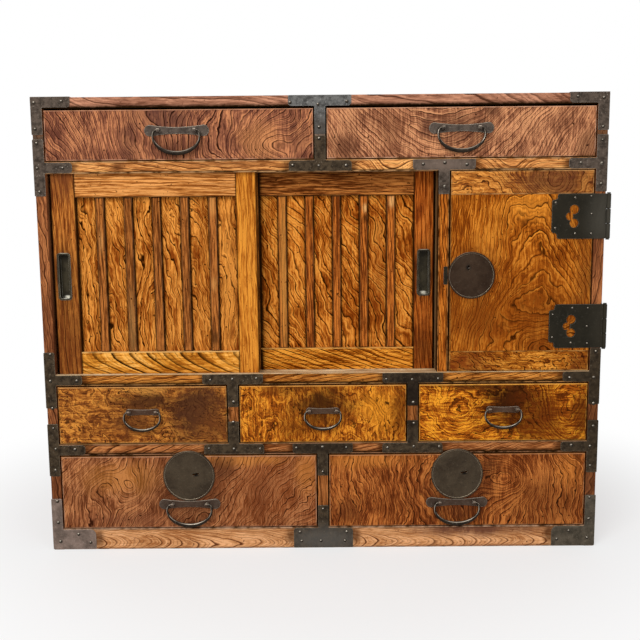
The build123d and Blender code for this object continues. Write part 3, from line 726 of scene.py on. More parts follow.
@dataclass(frozen=True)
class Wood:
    """Finish of one board: its colours, its figure and its marks. Ring counts are per metre."""

    title: str
    lie: Lie
    light: Shade
    middle: Shade
    dark: Shade
    pore: Shade
    along: float = 18.0
    cross: float = 70.0
    depth: float = 130.0
    arch: float = 0.0
    arch_line: float = 0.0
    wander: float = 2.5
    wander_size: float = 9.0
    stretch: float = 4.0
    ripple: float = 0.7
    warp: float = 6.0
    warp_size: float = 32.0
    line_width: float = 0.22
    strength: float = 0.9
    streak: float = 1.5
    roughness: float = 0.34
    specular: float = 0.09
    sheen: Shade = (255, 170, 70)
    relief: float = 0.22
    relief_depth: float = 0.4
    strip_pitch: float = 0.0
    strip_start: float = 0.0
    strip_half: float = 0.0
    one_board: bool = False
    seed: float = 0.0
    rim: Rim = Rim()
    rim_paler: Shade = (8, 20, 34)
    shade_low: float = 0.0
    # real stain patches, and painted shadow where a board lies in shade
    stains: tuple[Stain, ...] = ()
    swirls: tuple[Swirl, ...] = ()

    def edge_shade(self) -> Shade:
        """Give the paler shade of the board's edge line of wear and painted highlight."""
        return tuple(min(part + more, 255) for part, more in zip(self.light, self.rim_paler))

    def figure(self, w: Wiring, place: Socket, low: Vector, high: Vector) -> bpy.types.Node:
        """Place the board's rings, with the swirls in them.

        Args:
            w: Wiring of the material.
            place: The place on the board.
            low: Lowest corner of the board, in metres.
            high: Highest corner of the board, in metres.

        Returns:
            The node of the ring figure.
        """
        axes = w.parts(place)
        grain = w.join(*(axes[i] for i in self.lie.value))
        swirl: Value = 0.0
        for mark in self.swirls:
            centre = Vector((mark.x * MM, (low.y + high.y) / 2, mark.z * MM))
            reach = Vector((mark.wide * MM, 1.0, mark.high * MM))
            group = SWIRL.place(w, Place=place, Centre=centre, Reach=reach, Lift=mark.lift, Before=swirl)
            swirl = group.outputs[0]
        return RINGS.place(
            w, Place=grain, Along=self.along, Cross=self.cross, Depth=self.depth, Arch=self.arch,
            Arch_Line=self.arch_line * MM, Wander=self.wander, Wander_Size=self.wander_size,
            Stretch=self.stretch, Ripple=self.ripple, Warp=self.warp * MM, Warp_Size=self.warp_size,
            Swirl=swirl, Line_Width=self.line_width, Strip_Pitch=self.strip_pitch * MM,
            Strips=1 / (self.strip_pitch * MM) if self.strip_pitch else 0.0,
            Strip_Start=self.strip_start * MM, Strip_Change=0.0 if self.one_board else 1.0, Seed=self.seed,
        )

    def edged(self, w: Wiring, colour: Socket, place: Socket, aside: Socket, low: Vector,
              high: Vector) -> Socket:
        """Lay the marks of the board's edges over a colour: dirt with painted shade, and paler lines of
        wear and painted highlight.

        Args:
            w: Wiring of the material.
            colour: The colour below.
            place: The place on the board.
            aside: How far the place is from the middle of its strip.
            low: Lowest corner of the board, in metres.
            high: Highest corner of the board, in metres.

        Returns:
            The colour with the marks.
        """
        unmarked = (1, self.lie.value[2])
        past = Vector(tuple(PAST_EDGE if i in unmarked else 0.0 for i in range(3)))
        inside: Value = PAST_EDGE
        if self.strip_half:
            inside = w.math("SUBTRACT", self.strip_half * MM, aside)
        rim = self.rim
        return RIM.place(
            w, Color=colour, Place=place, Low=low - past, High=high + past, Inside=inside,
            Width=rim.width * MM, Grime=rim.grime, Rub=rim.rub, Crest=rim.crest,
            Bright=linear(self.edge_shade()),
        ).outputs[0]

    def material(self, low: Vector, high: Vector) -> bpy.types.Material:
        """Build the material of a board.

        Args:
            low: Lowest corner of the board, in metres.
            high: Highest corner of the board, in metres.

        Returns:
            The finished material.
        """
        made, w, shader = new_finish(self.title)
        place = w.node("ShaderNodeTexCoord", {}).outputs["Object"]
        figure = self.figure(w, place, low, high)
        lacquer = LACQUER.place(
            w, **{name: figure.outputs[name] for name in ("Line", "Rise", "Tone", "Fibre")},
            Light=linear(self.light), Middle=linear(self.middle), Dark=linear(self.dark),
            Strength=self.strength, Streak=self.streak, Roughness=self.roughness,
        )
        colour = lacquer.outputs["Ground"]
        for mark in self.stains:
            colour = mark.over(w, colour, place)
        colour = w.mix(lacquer.outputs["Pores"], colour, linear(self.pore))
        # painted shadow along the board's low edge
        if self.shade_low:
            shade = Stain(0.0, low.z / MM, ENDLESS, self.shade_low, LOW_EDGE_SHADE, 1.0, 0.4)
            colour = shade.over(w, colour, place)
        colour = self.edged(w, colour, place, figure.outputs["Aside"], low, high)
        w.fill(shader, {
            "Base Color": colour,
            "Roughness": lacquer.outputs["Roughness"],
            "Normal": w.bump(lacquer.outputs["Height"], self.relief, self.relief_depth),
            "Specular IOR Level": self.specular,
            "Specular Tint": linear(self.sheen),
        })
        return made

    def unmarked(self) -> bpy.types.Material:
        """Build the material with no marks of a board's edges."""
        return self.material(-FAR_CORNER, FAR_CORNER)


@dataclass(frozen=True)
class Iron:
    """Finish of forged iron: its colours, its patches, the edges that wear bright and the painted
    highlights on faces that look one way.
    """

    title: str
    ground: Shade
    patch: Shade
    # colour of the worn edges and specks, and of the painted highlights
    worn: Shade
    metallic: float = 0.5
    roughness: float = 0.46
    specular: float = 0.12
    patch_size: float = 52.0
    specks: float = 0.3
    edge_reach: float = 1.0
    edge_turn: tuple[float, float] = (0.02, 0.22)
    relief: float = 0.5
    relief_depth: float = 0.8
    ridges: tuple[Ridge, ...] = ()
    marks: tuple[Stain, ...] = ()

    def material(self) -> bpy.types.Material:
        """Build the material.

        Returns:
            The finished material.
        """
        made, w, shader = new_finish(self.title)
        texture = w.node("ShaderNodeTexCoord", {}).outputs
        bevel = w.node("ShaderNodeBevel", {"Radius": self.edge_reach * MM}, samples=4).outputs[0]
        plain = w.node("ShaderNodeNewGeometry", {}).outputs["Normal"]
        turn = w.math("SUBTRACT", 1.0, w.vector("DOT_PRODUCT", bevel, plain))
        edge = w.smooth(turn, *self.edge_turn)
        # each way adds a painted highlight where the surface faces it
        for way, start in self.ridges:
            facing = w.vector("DOT_PRODUCT", texture["Normal"], way)
            edge = w.math("MAXIMUM", edge, w.smooth(facing, start, 1.0))
        skin = SKIN.place(
            w, Place=texture["Object"], Ground=linear(self.ground), Patch=linear(self.patch),
            Worn=linear(self.worn), Patch_Size=self.patch_size, Specks=self.specks, Edge=edge,
            Roughness=self.roughness,
        )
        colour = skin.outputs["Color"]
        for mark in self.marks:
            colour = mark.over(w, colour, texture["Object"])
        w.fill(shader, {
            "Base Color": colour,
            "Roughness": skin.outputs["Roughness"],
            "Normal": w.bump(skin.outputs["Height"], self.relief, self.relief_depth, Normal=bevel),
            "Metallic": self.metallic,
            "Specular IOR Level": self.specular,
        })
        return made


def dress(name: str, finishes: Sequence[bpy.types.Material], pick: Optional[Picker] = None) -> None:
    """Give a CAD node its finish.

    Args:
        name: The CAD node.
        finishes: One material, or several that the faces choose from.
        pick: Says which material a face takes from its middle, in millimetres, and the way it faces.
    """
    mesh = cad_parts[name].data
    mesh.materials.clear()
    for finish in finishes:
        mesh.materials.append(finish)
    if pick is not None:
        for face in mesh.polygons:
            face.material_index = pick(face.center / MM, face.normal)
    LOG.info("dressed %s", name)


def not_front(middle: Vector, facing: Vector) -> int:
    """Give 0 for a face that looks to the front and 1 for any other."""
    return int(facing.y > -SQUARE_ON)


def is_edge(middle: Vector, facing: Vector) -> int:
    """Give 0 for a face that looks to the front or the back and 1 for an edge."""
    return int(abs(facing.y) < SQUARE_ON)


def solids(mesh: bpy.types.Mesh) -> list[tuple[Vector, list[bpy.types.MeshPolygon]]]:
    """Sort a mesh's faces into its separate solids.

    Args:
        mesh: The mesh of a node with several solids.

    Returns:
        The middle of each solid's corners, in millimetres, with its faces.
    """
    root = list(range(len(mesh.vertices)))

    def find(corner: int) -> int:
        """Find the solid of a corner.

        Args:
            corner: Number of the corner.

        Returns:
            Number of the corner that stands for the whole solid.
        """
        while root[corner] != corner:
            root[corner] = root[root[corner]]
            corner = root[corner]
        return corner

    for face in mesh.polygons:
        first = find(face.vertices[0])
        for corner in face.vertices[1:]:
            root[find(corner)] = first
    faces: dict[int, list[bpy.types.MeshPolygon]] = {}
    for face in mesh.polygons:
        faces.setdefault(find(face.vertices[0]), []).append(face)
    found = []
    for group in faces.values():
        corners = {corner for face in group for corner in face.vertices}
        middle = sum((mesh.vertices[corner].co for corner in corners), Vector()) / len(corners)
        found.append((middle / MM, group))
    return found


def new_piece(title: str, shape: bmesh.types.BMesh, finish: bpy.types.Material,
              body: str) -> bpy.types.Object:
    """Turn a mesh in the making into a piece that rides on a body.

    Args:
        title: Name of the piece.
        shape: The mesh, in metres in the chest's frame.
        finish: Its material.
        body: The CAD body that carries it.

    Returns:
        The new object.
    """
    mesh = bpy.data.meshes.new(title)
    bmesh.ops.recalc_face_normals(shape, faces=shape.faces)
    shape.to_mesh(mesh)
    shape.free()
    for face in mesh.polygons:
        face.use_smooth = True
    mesh.materials.append(finish)
    made = bpy.data.objects.new(title, mesh)
    bpy.context.scene.collection.objects.link(made)
    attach(made, body)
    LOG.info("built %s", title)
    return made


def bridge(shape: bmesh.types.BMesh, loops: Sequence[Sequence[bmesh.types.BMVert]]) -> None:
    """Join loops of as many corners with faces.

    Args:
        shape: The mesh in the making.
        loops: The loops in order.
    """
    for first, second in zip(loops, loops[1:]):
        for k in range(len(first)):
            j = (k + 1) % len(first)
            shape.faces.new((first[k], first[j], second[j], second[k]))


@dataclass(frozen=True)
class Board:
    """One fixed board, with plain wood on the faces that look along one axis."""

    name: str
    finish: Wood
    plain: Optional[Wood] = None
    plain_axis: int = 0


@dataclass
class Carcass:
    """The fixed boards of the chest."""

    boards: tuple[Board, ...]
    sill: Wood
    sill_board: str = "middle_shelf"
    sill_low: float = 286.5
    sill_depth: float = -150.0

    def pick(self, board: Board, middle: Vector, facing: Vector) -> int:
        """Tell which finish a face of a board takes.

        Args:
            board: The board.
            middle: Middle of the face, in millimetres.
            facing: The way the face looks.

        Returns:
            0 for the board's own finish, 1 for its plain wood and 2 for the worn sill.
        """
        if board.name == self.sill_board and middle.z > self.sill_low and middle.y < self.sill_depth:
            return 2
        if board.plain is not None and abs(facing[board.plain_axis]) > SQUARE_ON:
            return 1
        return 0

    def dress(self) -> None:
        """Finish each board, with plain wood behind the front and bare worn wood where the doors run."""
        plain = {wood: wood.unmarked() for wood in (SHELF_FACE, DIVIDER_FACE, END_GRAIN)}
        for board in self.boards:
            low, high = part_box(board.name)
            finishes = [board.finish.material(low, high)]
            if board.plain is not None:
                finishes.append(plain[board.plain])
            if board.name == self.sill_board:
                finishes.append(self.sill.material(low, high))
            dress(board.name, finishes, partial(self.pick, board))


@dataclass(frozen=True)
class Handle:
    """Sizes of a drop handle's bail, in millimetres, and the number of steps along it and round it."""

    span: float
    past_post: float
    drop: float
    bar: float
    eye: float = 5.0
    eye_gap: float = 1.0
    pin: float = 2.84
    tip: float = 1.6
    tip_inset: float = 0.3
    tip_taper: float = 0.6
    shoulder: float = 9.0
    side_bar: float = 3.4
    side_deep: float = 4.3
    deep: float = 4.9
    swell: float = 1.6
    roundness: float = 0.85
    shoulder_steps: int = 8
    low_steps: int = 20
    around: int = 14

    def line(self) -> list[Station]:
        """Work out the bail's middle line on one side, from the pin's tip to the bottom.

        Returns:
            Across, up, thickness in the plane of the bail and thickness through it, at each station.
        """
        start = self.span / 2 + self.eye / 2 + self.eye_gap
        tip = self.span / 2 - self.eye / 2 - self.eye_gap + self.tip_inset
        middle = self.span / 2 + self.past_post - self.side_bar / 2
        low = self.drop - self.shoulder - self.bar / 2
        line = [(tip, 0.0, self.tip, self.tip)]
        line.append((tip + self.tip_taper, 0.0, self.pin, self.pin))
        line.append((start - self.eye_gap, 0.0, self.pin, self.pin))
        for i in range(self.shoulder_steps + 1):
            share = i / self.shoulder_steps
            angle = math.pi / 2 * (1 - share)
            thick = self.pin + (self.side_bar - self.pin) * share
            through = self.pin + (self.side_deep - self.pin) * share
            x = start + (middle - start) * math.cos(angle)
            line.append((x, -self.shoulder + self.shoulder * math.sin(angle), thick, through))
        for i in range(1, self.low_steps + 1):
            angle = math.pi / 2 * i / self.low_steps
            share = math.sin(angle) ** self.swell
            thick = self.side_bar + (self.bar - self.side_bar) * share
            through = self.side_deep + (self.deep - self.side_deep) * share
            line.append((middle * math.cos(angle), -self.shoulder - low * math.sin(angle), thick, through))
        return line

    def ring(self, station: Station, along: Vector) -> list[Vector]:
        """Work out the corners round the bail at one station.

        Args:
            station: The station of the middle line.
            along: The way the bar runs there.

        Returns:
            The corners, about the middle of the handle.
        """
        x, z, thick, through = station
        out = Vector((along.z, 0.0, -along.x))
        corners = []
        for k in range(self.around):
            turn = 2 * math.pi * k / self.around
            sides = (math.cos(turn), math.sin(turn))
            c, s = (math.copysign(abs(side) ** self.roundness, side) for side in sides)
            corners.append(Vector((x, s * through / 2, z)) + out * (c * thick / 2))
        return corners

    def shape(self, pivot: Vector) -> bmesh.types.BMesh:
        """Build the bail as one swelling bar.

        Args:
            pivot: Middle of its pivot line, in millimetres.

        Returns:
            The mesh in the making, in metres.
        """
        right = self.line()
        line = right + [(-x, *rest) for x, *rest in reversed(right[:-1])]
        shape = bmesh.new()
        rings = []
        for i, station in enumerate(line):
            before = line[max(i - 1, 0)]
            after = line[min(i + 1, len(line) - 1)]
            along = Vector((after[0] - before[0], 0.0, after[1] - before[1])).normalized()
            rings.append([shape.verts.new((spot + pivot) * MM) for spot in self.ring(station, along)])
        bridge(shape, rings)
        shape.faces.new(rings[0])
        shape.faces.new(rings[-1])
        return shape


@dataclass
class Drawer:
    """One drawer: its front, its box, its handle with a hanging bail, and its lock if it has one."""

    name: str
    finish: Wood
    handle: Handle
    handle_x: float
    handle_z: float
    locked: bool = False

    def build_bail(self, finish: bpy.types.Material) -> None:
        """Build the bail in place of its plain solid.

        Args:
            finish: The bail's material.
        """
        shape = self.handle.shape(Vector((self.handle_x, BAIL_Y, self.handle_z)))
        made = new_piece(self.name + "_bail_bar", shape, finish, self.name + "_bail")
        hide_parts(self.name + "_bail")

    def dress(self, inner: "Inside", plate: bpy.types.Material, lock: bpy.types.Material,
              bolt: bpy.types.Material) -> None:
        """Finish the drawer.

        Args:
            inner: Finishes of the drawer's box.
            plate: Finish of the handle plate and posts.
            lock: Finish of the lock plate.
            bolt: Finish of the lock bolt.
        """
        front = self.name + "_front"
        dress(front, [self.finish.material(*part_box(front)), inner.edge_finish], not_front)
        inner.dress_box(self.name + "_box")
        dress(self.name + "_handle", [plate])
        if self.locked:
            dress(self.name + "_lock", [lock])
            dress(self.name + "_lock_bolt", [bolt])


@dataclass
class Inside:
    """Plain planed softwood of the parts that the front hides."""

    side: Wood
    floor: Wood
    rear: Wood
    edge: Wood
    wall: float = 10.0
    finishes: list[bpy.types.Material] = field(init=False)
    edge_finish: bpy.types.Material = field(init=False)

    def prepare(self) -> None:
        """Build the finishes."""
        self.finishes = [wood.unmarked() for wood in (self.side, self.floor, self.rear)]
        self.edge_finish = self.edge.unmarked()

    def dress_box(self, name: str) -> None:
        """Finish the walls, the floor and the rear of a drawer's box.

        Args:
            name: The CAD node of the box.
        """
        low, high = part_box(name)
        left = low.x / MM + self.wall
        right = high.x / MM - self.wall
        behind = high.y / MM - self.wall

        def pick(middle: Vector, facing: Vector) -> int:
            """Give 0 for a face of the sides, 1 for the floor and 2 for the rear."""
            within = 2 if middle.y > behind else 1
            return within if left <= middle.x <= right else 0

        dress(name, self.finishes, pick)


@dataclass
class SlidingDoor:
    """One framed sliding door with its panel, battens and pull. Sizes are in millimetres."""

    name: str
    left_stile: float
    right_stile: float
    top_rail: float
    bottom_rail: float
    members: tuple[Wood, Wood, Wood, Wood]
    panel: Wood
    battens: Wood
    touch: float = 0.01

    def dress(self, pull: bpy.types.Material) -> None:
        """Finish the stiles, rails, panel, battens and pull.

        Args:
            pull: Finish of the pull.
        """
        low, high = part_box(self.name + "_frame")
        x0, x1 = low.x / MM, high.x / MM
        z0, z1 = low.z / MM, high.z / MM
        inner0, inner1 = x0 + self.left_stile, x1 - self.right_stile
        spans = (
            (x0, inner0, z0, z1), (inner1, x1, z0, z1), (inner0, inner1, z0, z0 + self.bottom_rail),
            (inner0, inner1, z1 - self.top_rail, z1),
        )
        finishes = []
        for wood, (left, right, bottom, top) in zip(self.members, spans):
            lower = Vector((left * MM, low.y, bottom * MM))
            finishes.append(wood.material(lower, Vector((right * MM, high.y, top * MM))))

        def pick(middle: Vector, facing: Vector) -> int:
            """Tell which member of the frame a face belongs to.

            Args:
                middle: Middle of the face, in millimetres.
                facing: Not used.

            Returns:
                0 and 1 for the stiles, 2 for the bottom rail and 3 for the top rail.
            """
            if middle.x < inner0 + self.touch:
                return 0
            if middle.x > inner1 - self.touch:
                return 1
            return 2 if middle.z < (z0 + z1) / 2 else 3

        dress(self.name + "_frame", finishes, pick)
        for part, wood in (("_panel", self.panel), ("_battens", self.battens)):
            dress(self.name + part, [wood.material(*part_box(self.name + part))])
        dress(self.name + "_pull", [pull])


@dataclass
class SwingDoor:
    """The hinged door with its two cleats and lock. Sizes are in millimetres."""

    panel: Wood
    low_cleat: Wood
    high_cleat: Wood
    low_cleat_high: float = 32.0
    high_cleat_high: float = 36.0

    def dress(self, inner: Inside, bolt: bpy.types.Material) -> None:
        """Finish the board, the cleats and the lock.

        Args:
            inner: Holds the finish of the edges.
            bolt: Finish of the lock bolt.
        """
        panel = "swing_door_panel"
        dress(panel, [self.panel.material(*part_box(panel)), inner.edge_finish], is_edge)
        low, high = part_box("swing_door_cleats")
        middle = (low.z + high.z) / 2 / MM
        finishes = [
            self.low_cleat.material(low, Vector((high.x, high.y, low.z + self.low_cleat_high * MM))),
            self.high_cleat.material(Vector((low.x, low.y, high.z - self.high_cleat_high * MM)), high),
            inner.edge_finish,
        ]

        def pick(spot: Vector, facing: Vector) -> int:
            """Give 0 for a face of the low cleat, 1 for the high cleat and 2 for an edge."""
            return 2 if is_edge(spot, facing) else int(spot.z > middle)

        dress("swing_door_cleats", finishes, pick)
        dress("swing_door_lock", [DOOR_LOCK.material()])
        dress("swing_door_lock_bolt", [bolt])


class Facing(Enum):
    """Which face of the chest nails are driven into."""

    FRONT = 0
    RIGHT = 1
    LEFT = -1
    BACK = 2


@dataclass
class Nails:
    """Domed nail heads on one face of the chest or its door. Sizes are in millimetres."""

    title: str
    body: str
    spots: tuple[tuple[float, float], ...]
    ground: float
    facing: Facing = Facing.FRONT
    radius: float = 2.7
    height: float = 1.1
    sunk: float = 0.15
    smallest: float = 0.88
    largest: float = 1.12
    rings: int = 3
    sides: int = 10

    def corner(self, shape: bmesh.types.BMesh, across: float, up: float, out: float) -> bmesh.types.BMVert:
        """Add one corner of a head.

        Args:
            shape: The mesh in the making.
            across: Place across the face of the chest, in millimetres.
            up: Height above the floor.
            out: How far it stands out from the face.

        Returns:
            The new corner.
        """
        if self.facing is Facing.FRONT:
            spot = Vector((across, self.ground - out, up))
        elif self.facing is Facing.BACK:
            spot = Vector((across, self.ground + out, up))
        else:
            spot = Vector((self.facing.value * (self.ground + out), across, up))
        return shape.verts.new(spot * MM)

    def build(self, finish: bpy.types.Material, draw: random.Random) -> None:
        """Build all the heads as one piece.

        Args:
            finish: Their material.
            draw: Source of the small differences between heads.
        """
        shape = bmesh.new()
        for across, up in self.spots:
            radius = self.radius * draw.uniform(self.smallest, self.largest)
            spin = draw.uniform(0, math.pi)
            loops = []
            for i in range(self.rings):
                lift = math.pi / 2 * i / self.rings
                r = radius * math.cos(lift)
                h = self.height * math.sin(lift) if i else -self.sunk
                loop = []
                for k in range(self.sides):
                    turn = spin + 2 * math.pi * k / self.sides
                    loop.append(self.corner(shape, across + r * math.cos(turn), up + r * math.sin(turn), h))
                loops.append(loop)
            bridge(shape, loops)
            crown = self.corner(shape, across, up, self.height)
            for k in range(self.sides):
                shape.faces.new((loops[-1][k], loops[-1][(k + 1) % self.sides], crown))
            shape.faces.new(tuple(reversed(loops[0])))
        made = new_piece(self.title, shape, finish, self.body)


@dataclass
class Irons:
    """The corner irons, strap irons and hinges, and all the nails. Heights part the irons by finish."""

    nails: tuple[Nails, ...]
    foot_below: float = 600.0
    crest_above: float = 650.0
    high_above: float = 560.0
    high_aside: float = 100.0
    tab_between: tuple[float, float] = (400.0, 500.0)

    def corner_finish(self, middle: Vector) -> int:
        """Tell which finish a corner iron takes.

        Args:
            middle: Middle of the iron, in millimetres.

        Returns:
            0 at the top, 1 at the left foot and 2 at the right foot.
        """
        if middle.z > self.foot_below:
            return 0
        return 2 if middle.x > 0.0 else 1

    def strap_finish(self, middle: Vector) -> int:
        """Tell which finish a strap iron takes.

        Args:
            middle: Middle of the iron, in millimetres.

        Returns:
            0 for most, 1 under the top board, 2 beside the doors' tops and 3 for the strike tab.
        """
        low, high = self.tab_between
        if middle.z > self.crest_above:
            return 1
        if middle.z > self.high_above:
            return 2 if abs(middle.x) > self.high_aside else 0
        return 3 if low < middle.z < high else 0

    def dress(self) -> None:
        """Finish the irons."""
        strap, crest, high, left, right, hinge = (
            iron.material() for iron in (STRAP, CREST, HIGH, LEFT_FOOT, RIGHT_FOOT, HINGE))
        for name, finishes, choose in (
            ("corner_irons", [high, left, right], self.corner_finish),
            ("strap_irons", [strap, crest, high, hinge], self.strap_finish),
        ):
            dress(name, finishes)
            for middle, faces in solids(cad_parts[name].data):
                for face in faces:
                    face.material_index = choose(middle)
        for name in ("hinge_door_leaves", "hinge_side_leaves", "hinge_pins"):
            dress(name, [hinge])

    def build(self) -> None:
        """Build the nail heads."""
        draw = random.Random(SEED)
        finish = NAIL.material()
        for nails in self.nails:
            nails.build(finish, draw)


@dataclass(frozen=True)
class Lamp:
    """One soft round lamp: its place, its aim and its width in metres, and its power in watts."""

    title: str
    place: Point
    aim: Point
    size: float
    power: float

    def build(self) -> None:
        """Hang the lamp."""
        data = bpy.data.lights.new(self.title, "AREA")
        data.shape = "DISK"
        data.size = self.size
        data.energy = self.power
        lamp = bpy.data.objects.new(self.title, data)
        bpy.context.scene.collection.objects.link(lamp)
        lamp.location = self.place
        lamp.rotation_euler = (Vector(self.aim) - Vector(self.place)).to_track_quat("-Z", "Y").to_euler()


@dataclass
class Studio:
    """Pale floor, soft lamps, white surround and the camera.

    The camera's place and sensor are in millimetres and its turns in degrees. The floor is in metres.
    """

    lamps: tuple[Lamp, ...]
    camera_place: Point = (2.6, -1522.0, 555.0)
    pitch: float = 7.77
    yaw: float = 0.219
    roll: float = -0.517
    focal_pixels: float = 850.0
    image_pixels: float = 640.0
    sensor: float = 36.0
    surround: float = 0.45
    floor_half: float = 30.0
    floor_pale: float = 0.93
    floor_roughness: float = 0.9
    shade_near: float = 0.40
    shade_far: float = 0.9
    near_glow: float = 0.55

    def floor_finish(self) -> bpy.types.Material:
        """Build the floor's material, which is white to the eye but for the shade near the chest.

        Returns:
            The material.
        """
        made, w, shader = new_finish("floor_white")
        pale = (self.floor_pale, self.floor_pale, self.floor_pale, 1.0)
        w.fill(shader, {"Base Color": pale, "Roughness": self.floor_roughness, "Specular IOR Level": 0.0})
        away = w.vector("LENGTH", w.node("ShaderNodeTexCoord", {}).outputs["Object"])
        share = w.scaled(w.smooth(away, self.shade_near, self.shade_far), self.near_glow, 1.0)
        glow = w.node("ShaderNodeEmission", {}).outputs[0]
        blend = w.node("ShaderNodeMixShader", {0: w.times(w.seen(), share), 1: shader.outputs[0], 2: glow})
        w.fill(made.node_tree.nodes["Material Output"], {0: blend.outputs[0]})
        return made

    def build_floor(self) -> None:
        """Lay the floor."""
        shape = bmesh.new()
        bmesh.ops.create_grid(shape, x_segments=1, y_segments=1, size=self.floor_half)
        mesh = bpy.data.meshes.new("floor")
        shape.to_mesh(mesh)
        shape.free()
        floor = bpy.data.objects.new("floor", mesh)
        bpy.context.scene.collection.objects.link(floor)
        mesh.materials.append(self.floor_finish())

    def build_world(self) -> None:
        """Make a surround that is white to the eye and in reflections, and a soft light otherwise."""
        world = bpy.data.worlds.new("surround")
        bpy.context.scene.world = world
        world.use_nodes = True
        w = Wiring(world.node_tree)
        strength = w.scaled(w.seen(), self.surround, 1.0)
        w.fill(world.node_tree.nodes["Background"], {"Color": (1.0, 1.0, 1.0, 1.0), "Strength": strength})

    def build_camera(self) -> None:
        """Set the camera where the picture was taken from."""
        data = bpy.data.cameras.new("camera")
        data.sensor_width = self.sensor
        data.lens = self.focal_pixels / self.image_pixels * self.sensor
        camera = bpy.data.objects.new("camera", data)
        bpy.context.scene.collection.objects.link(camera)
        turn = Matrix.Identity(4)
        for degrees, axis in ((self.yaw, "Z"), (90 - self.pitch, "X"), (self.roll, "Z")):
            turn = turn @ Matrix.Rotation(math.radians(degrees), 4, axis)
        camera.matrix_world = Matrix.Translation(metres(self.camera_place)) @ turn
        bpy.context.scene.camera = camera

    def build(self) -> None:
        """Set up the whole studio."""
        bpy.context.scene.view_settings.view_transform = "Standard"
        self.build_floor()
        self.build_world()
        for lamp in self.lamps:
            lamp.build()
        self.build_camera()


# Finishes of the irons, with marks where hands, smoke and rubbing left them, painted shade in keyholes and
# pull hollows, and painted highlights
# Painted highlight on the up-facing top of a lock plate's rim
LOCK_RIM = (((-0.2, -0.2, 0.96), 0.72),)
STRAP = Iron(
    "strap_iron", (38, 29, 19), (74, 61, 45), (146, 132, 112), patch_size=110.0, edge_reach=1.4,
    marks=(
        Stain(145, 246, 80, 66, (20, 11, 5), 0.8, 0.4), Stain(0, 168, 70, 16, (28, 19, 11), 0.55, 0.3),
        Stain(426, 240, 60, 120, (34, 26, 15), 0.55, 0.3), Stain(0, 14, 80, 30, (94, 90, 84), 0.65, 0.3),
    ),
)
HIGH = Iron(
    "high_iron", (47, 39, 32), (87, 75, 65), (164, 152, 138), patch_size=110.0, edge_reach=1.4,
    marks=(Stain(190, 614, 60, 14, (118, 100, 88), 0.6, 0.4),),
)
CREST = Iron(
    "crest_iron", (61, 60, 58), (108, 107, 104), (188, 186, 180), patch_size=110.0, edge_reach=1.4,
    marks=(Stain(0, 664, 60, 34, (66, 59, 52), 0.75, 0.6),),
)
LEFT_FOOT = Iron(
    "left_foot_iron", (98, 84, 75), (138, 119, 108), (176, 158, 144), patch_size=50.0, edge_reach=1.4,
)
RIGHT_FOOT = Iron(
    "right_foot_iron", (60, 54, 44), (90, 81, 68), (136, 126, 110), patch_size=50.0, edge_reach=1.4,
)
HINGE = Iron(
    "hinge_iron", (27, 24, 16), (37, 33, 24), (124, 118, 106), patch_size=30.0, specks=0.06, edge_reach=1.4,
    marks=(
        Stain(438, 530, 32, 60, (66, 62, 54), 0.7, 0.3), Stain(438, 362, 24, 60, (50, 45, 36), 0.5, 0.3),
    ),
)
LOCK = Iron(
    "lock_iron", (51, 41, 30), (71, 60, 46), (186, 168, 142), roughness=0.42, patch_size=20.0, specks=0.04,
    # painted highlight on the rim's top, and painted shade in the two keyholes
    ridges=LOCK_RIM, marks=tuple(Stain(x, 125, 6.5, 3.6, (5, 4, 3), 1.0, 0.2) for x in (-204.5, 226.7)),
)
DOOR_LOCK = Iron(
    "door_lock_iron", (40, 26, 15), (58, 43, 31), (180, 164, 140), roughness=0.4, patch_size=20.0,
    # painted highlight on the rim's top
    specks=0.03, ridges=LOCK_RIM,
    marks=(
        # painted shade in the keyhole, with a pale dot in it
        Stain(229, 455, 5.0, 6.0, (5, 4, 3), 1.0, 0.1),
        Stain(230, 453.6, 1.6, 1.6, (200, 190, 176), 1.0, 0.1),
    ),
)
PLATE = Iron(
    "plate_iron", (56, 48, 42), (86, 75, 66), (206, 192, 172), patch_size=60.0, specks=0.1, edge_reach=1.5,
    # painted highlight on the tops of the posts and eyes
    ridges=(((-0.1, -0.6, 0.79), 0.85),),
    marks=(
        *(Stain(x, 228, 70, 26, (72, 42, 20), 0.55, 0.3) for x in (-286.6, 0.9, 287.5)),
        *(Stain(x, 76, 90, 26, (66, 44, 28), 0.5, 0.3) for x in (-215.6, 215.6)),
    ),
)
BAR = Iron(
    "bail_iron", (30, 24, 18), (46, 38, 30), (198, 185, 166), metallic=0.6, roughness=0.34, edge_reach=0.1,
    relief=0.15, specks=0.1,
    # painted highlights along the top of the bar and the fronts of its arms
    ridges=(((-0.12, -0.62, 0.78), 0.87), ((-0.55, -0.83, 0.1), 0.92), ((0.6, -0.6, 0.53), 0.92)),
)
PULL = Iron(
    "pull_iron", (42, 37, 26), (64, 57, 42), (206, 200, 186), roughness=0.32, edge_reach=0.7, specks=0.02,
    # painted shade and highlights in the two pulls
    marks=(*pull_marks(-403), *pull_marks(163)),
)
NAIL = Iron(
    "nail_iron", (34, 28, 22), (58, 50, 41), (170, 160, 145), roughness=0.36, patch_size=120.0,
    # painted highlight on the upper left of each dome
    edge_reach=0.2, ridges=(((-0.2, -0.85, 0.49), 0.82),),
)
BOLT = Iron("bolt_iron", (84, 80, 74), (110, 106, 98), (150, 146, 138), roughness=0.36)

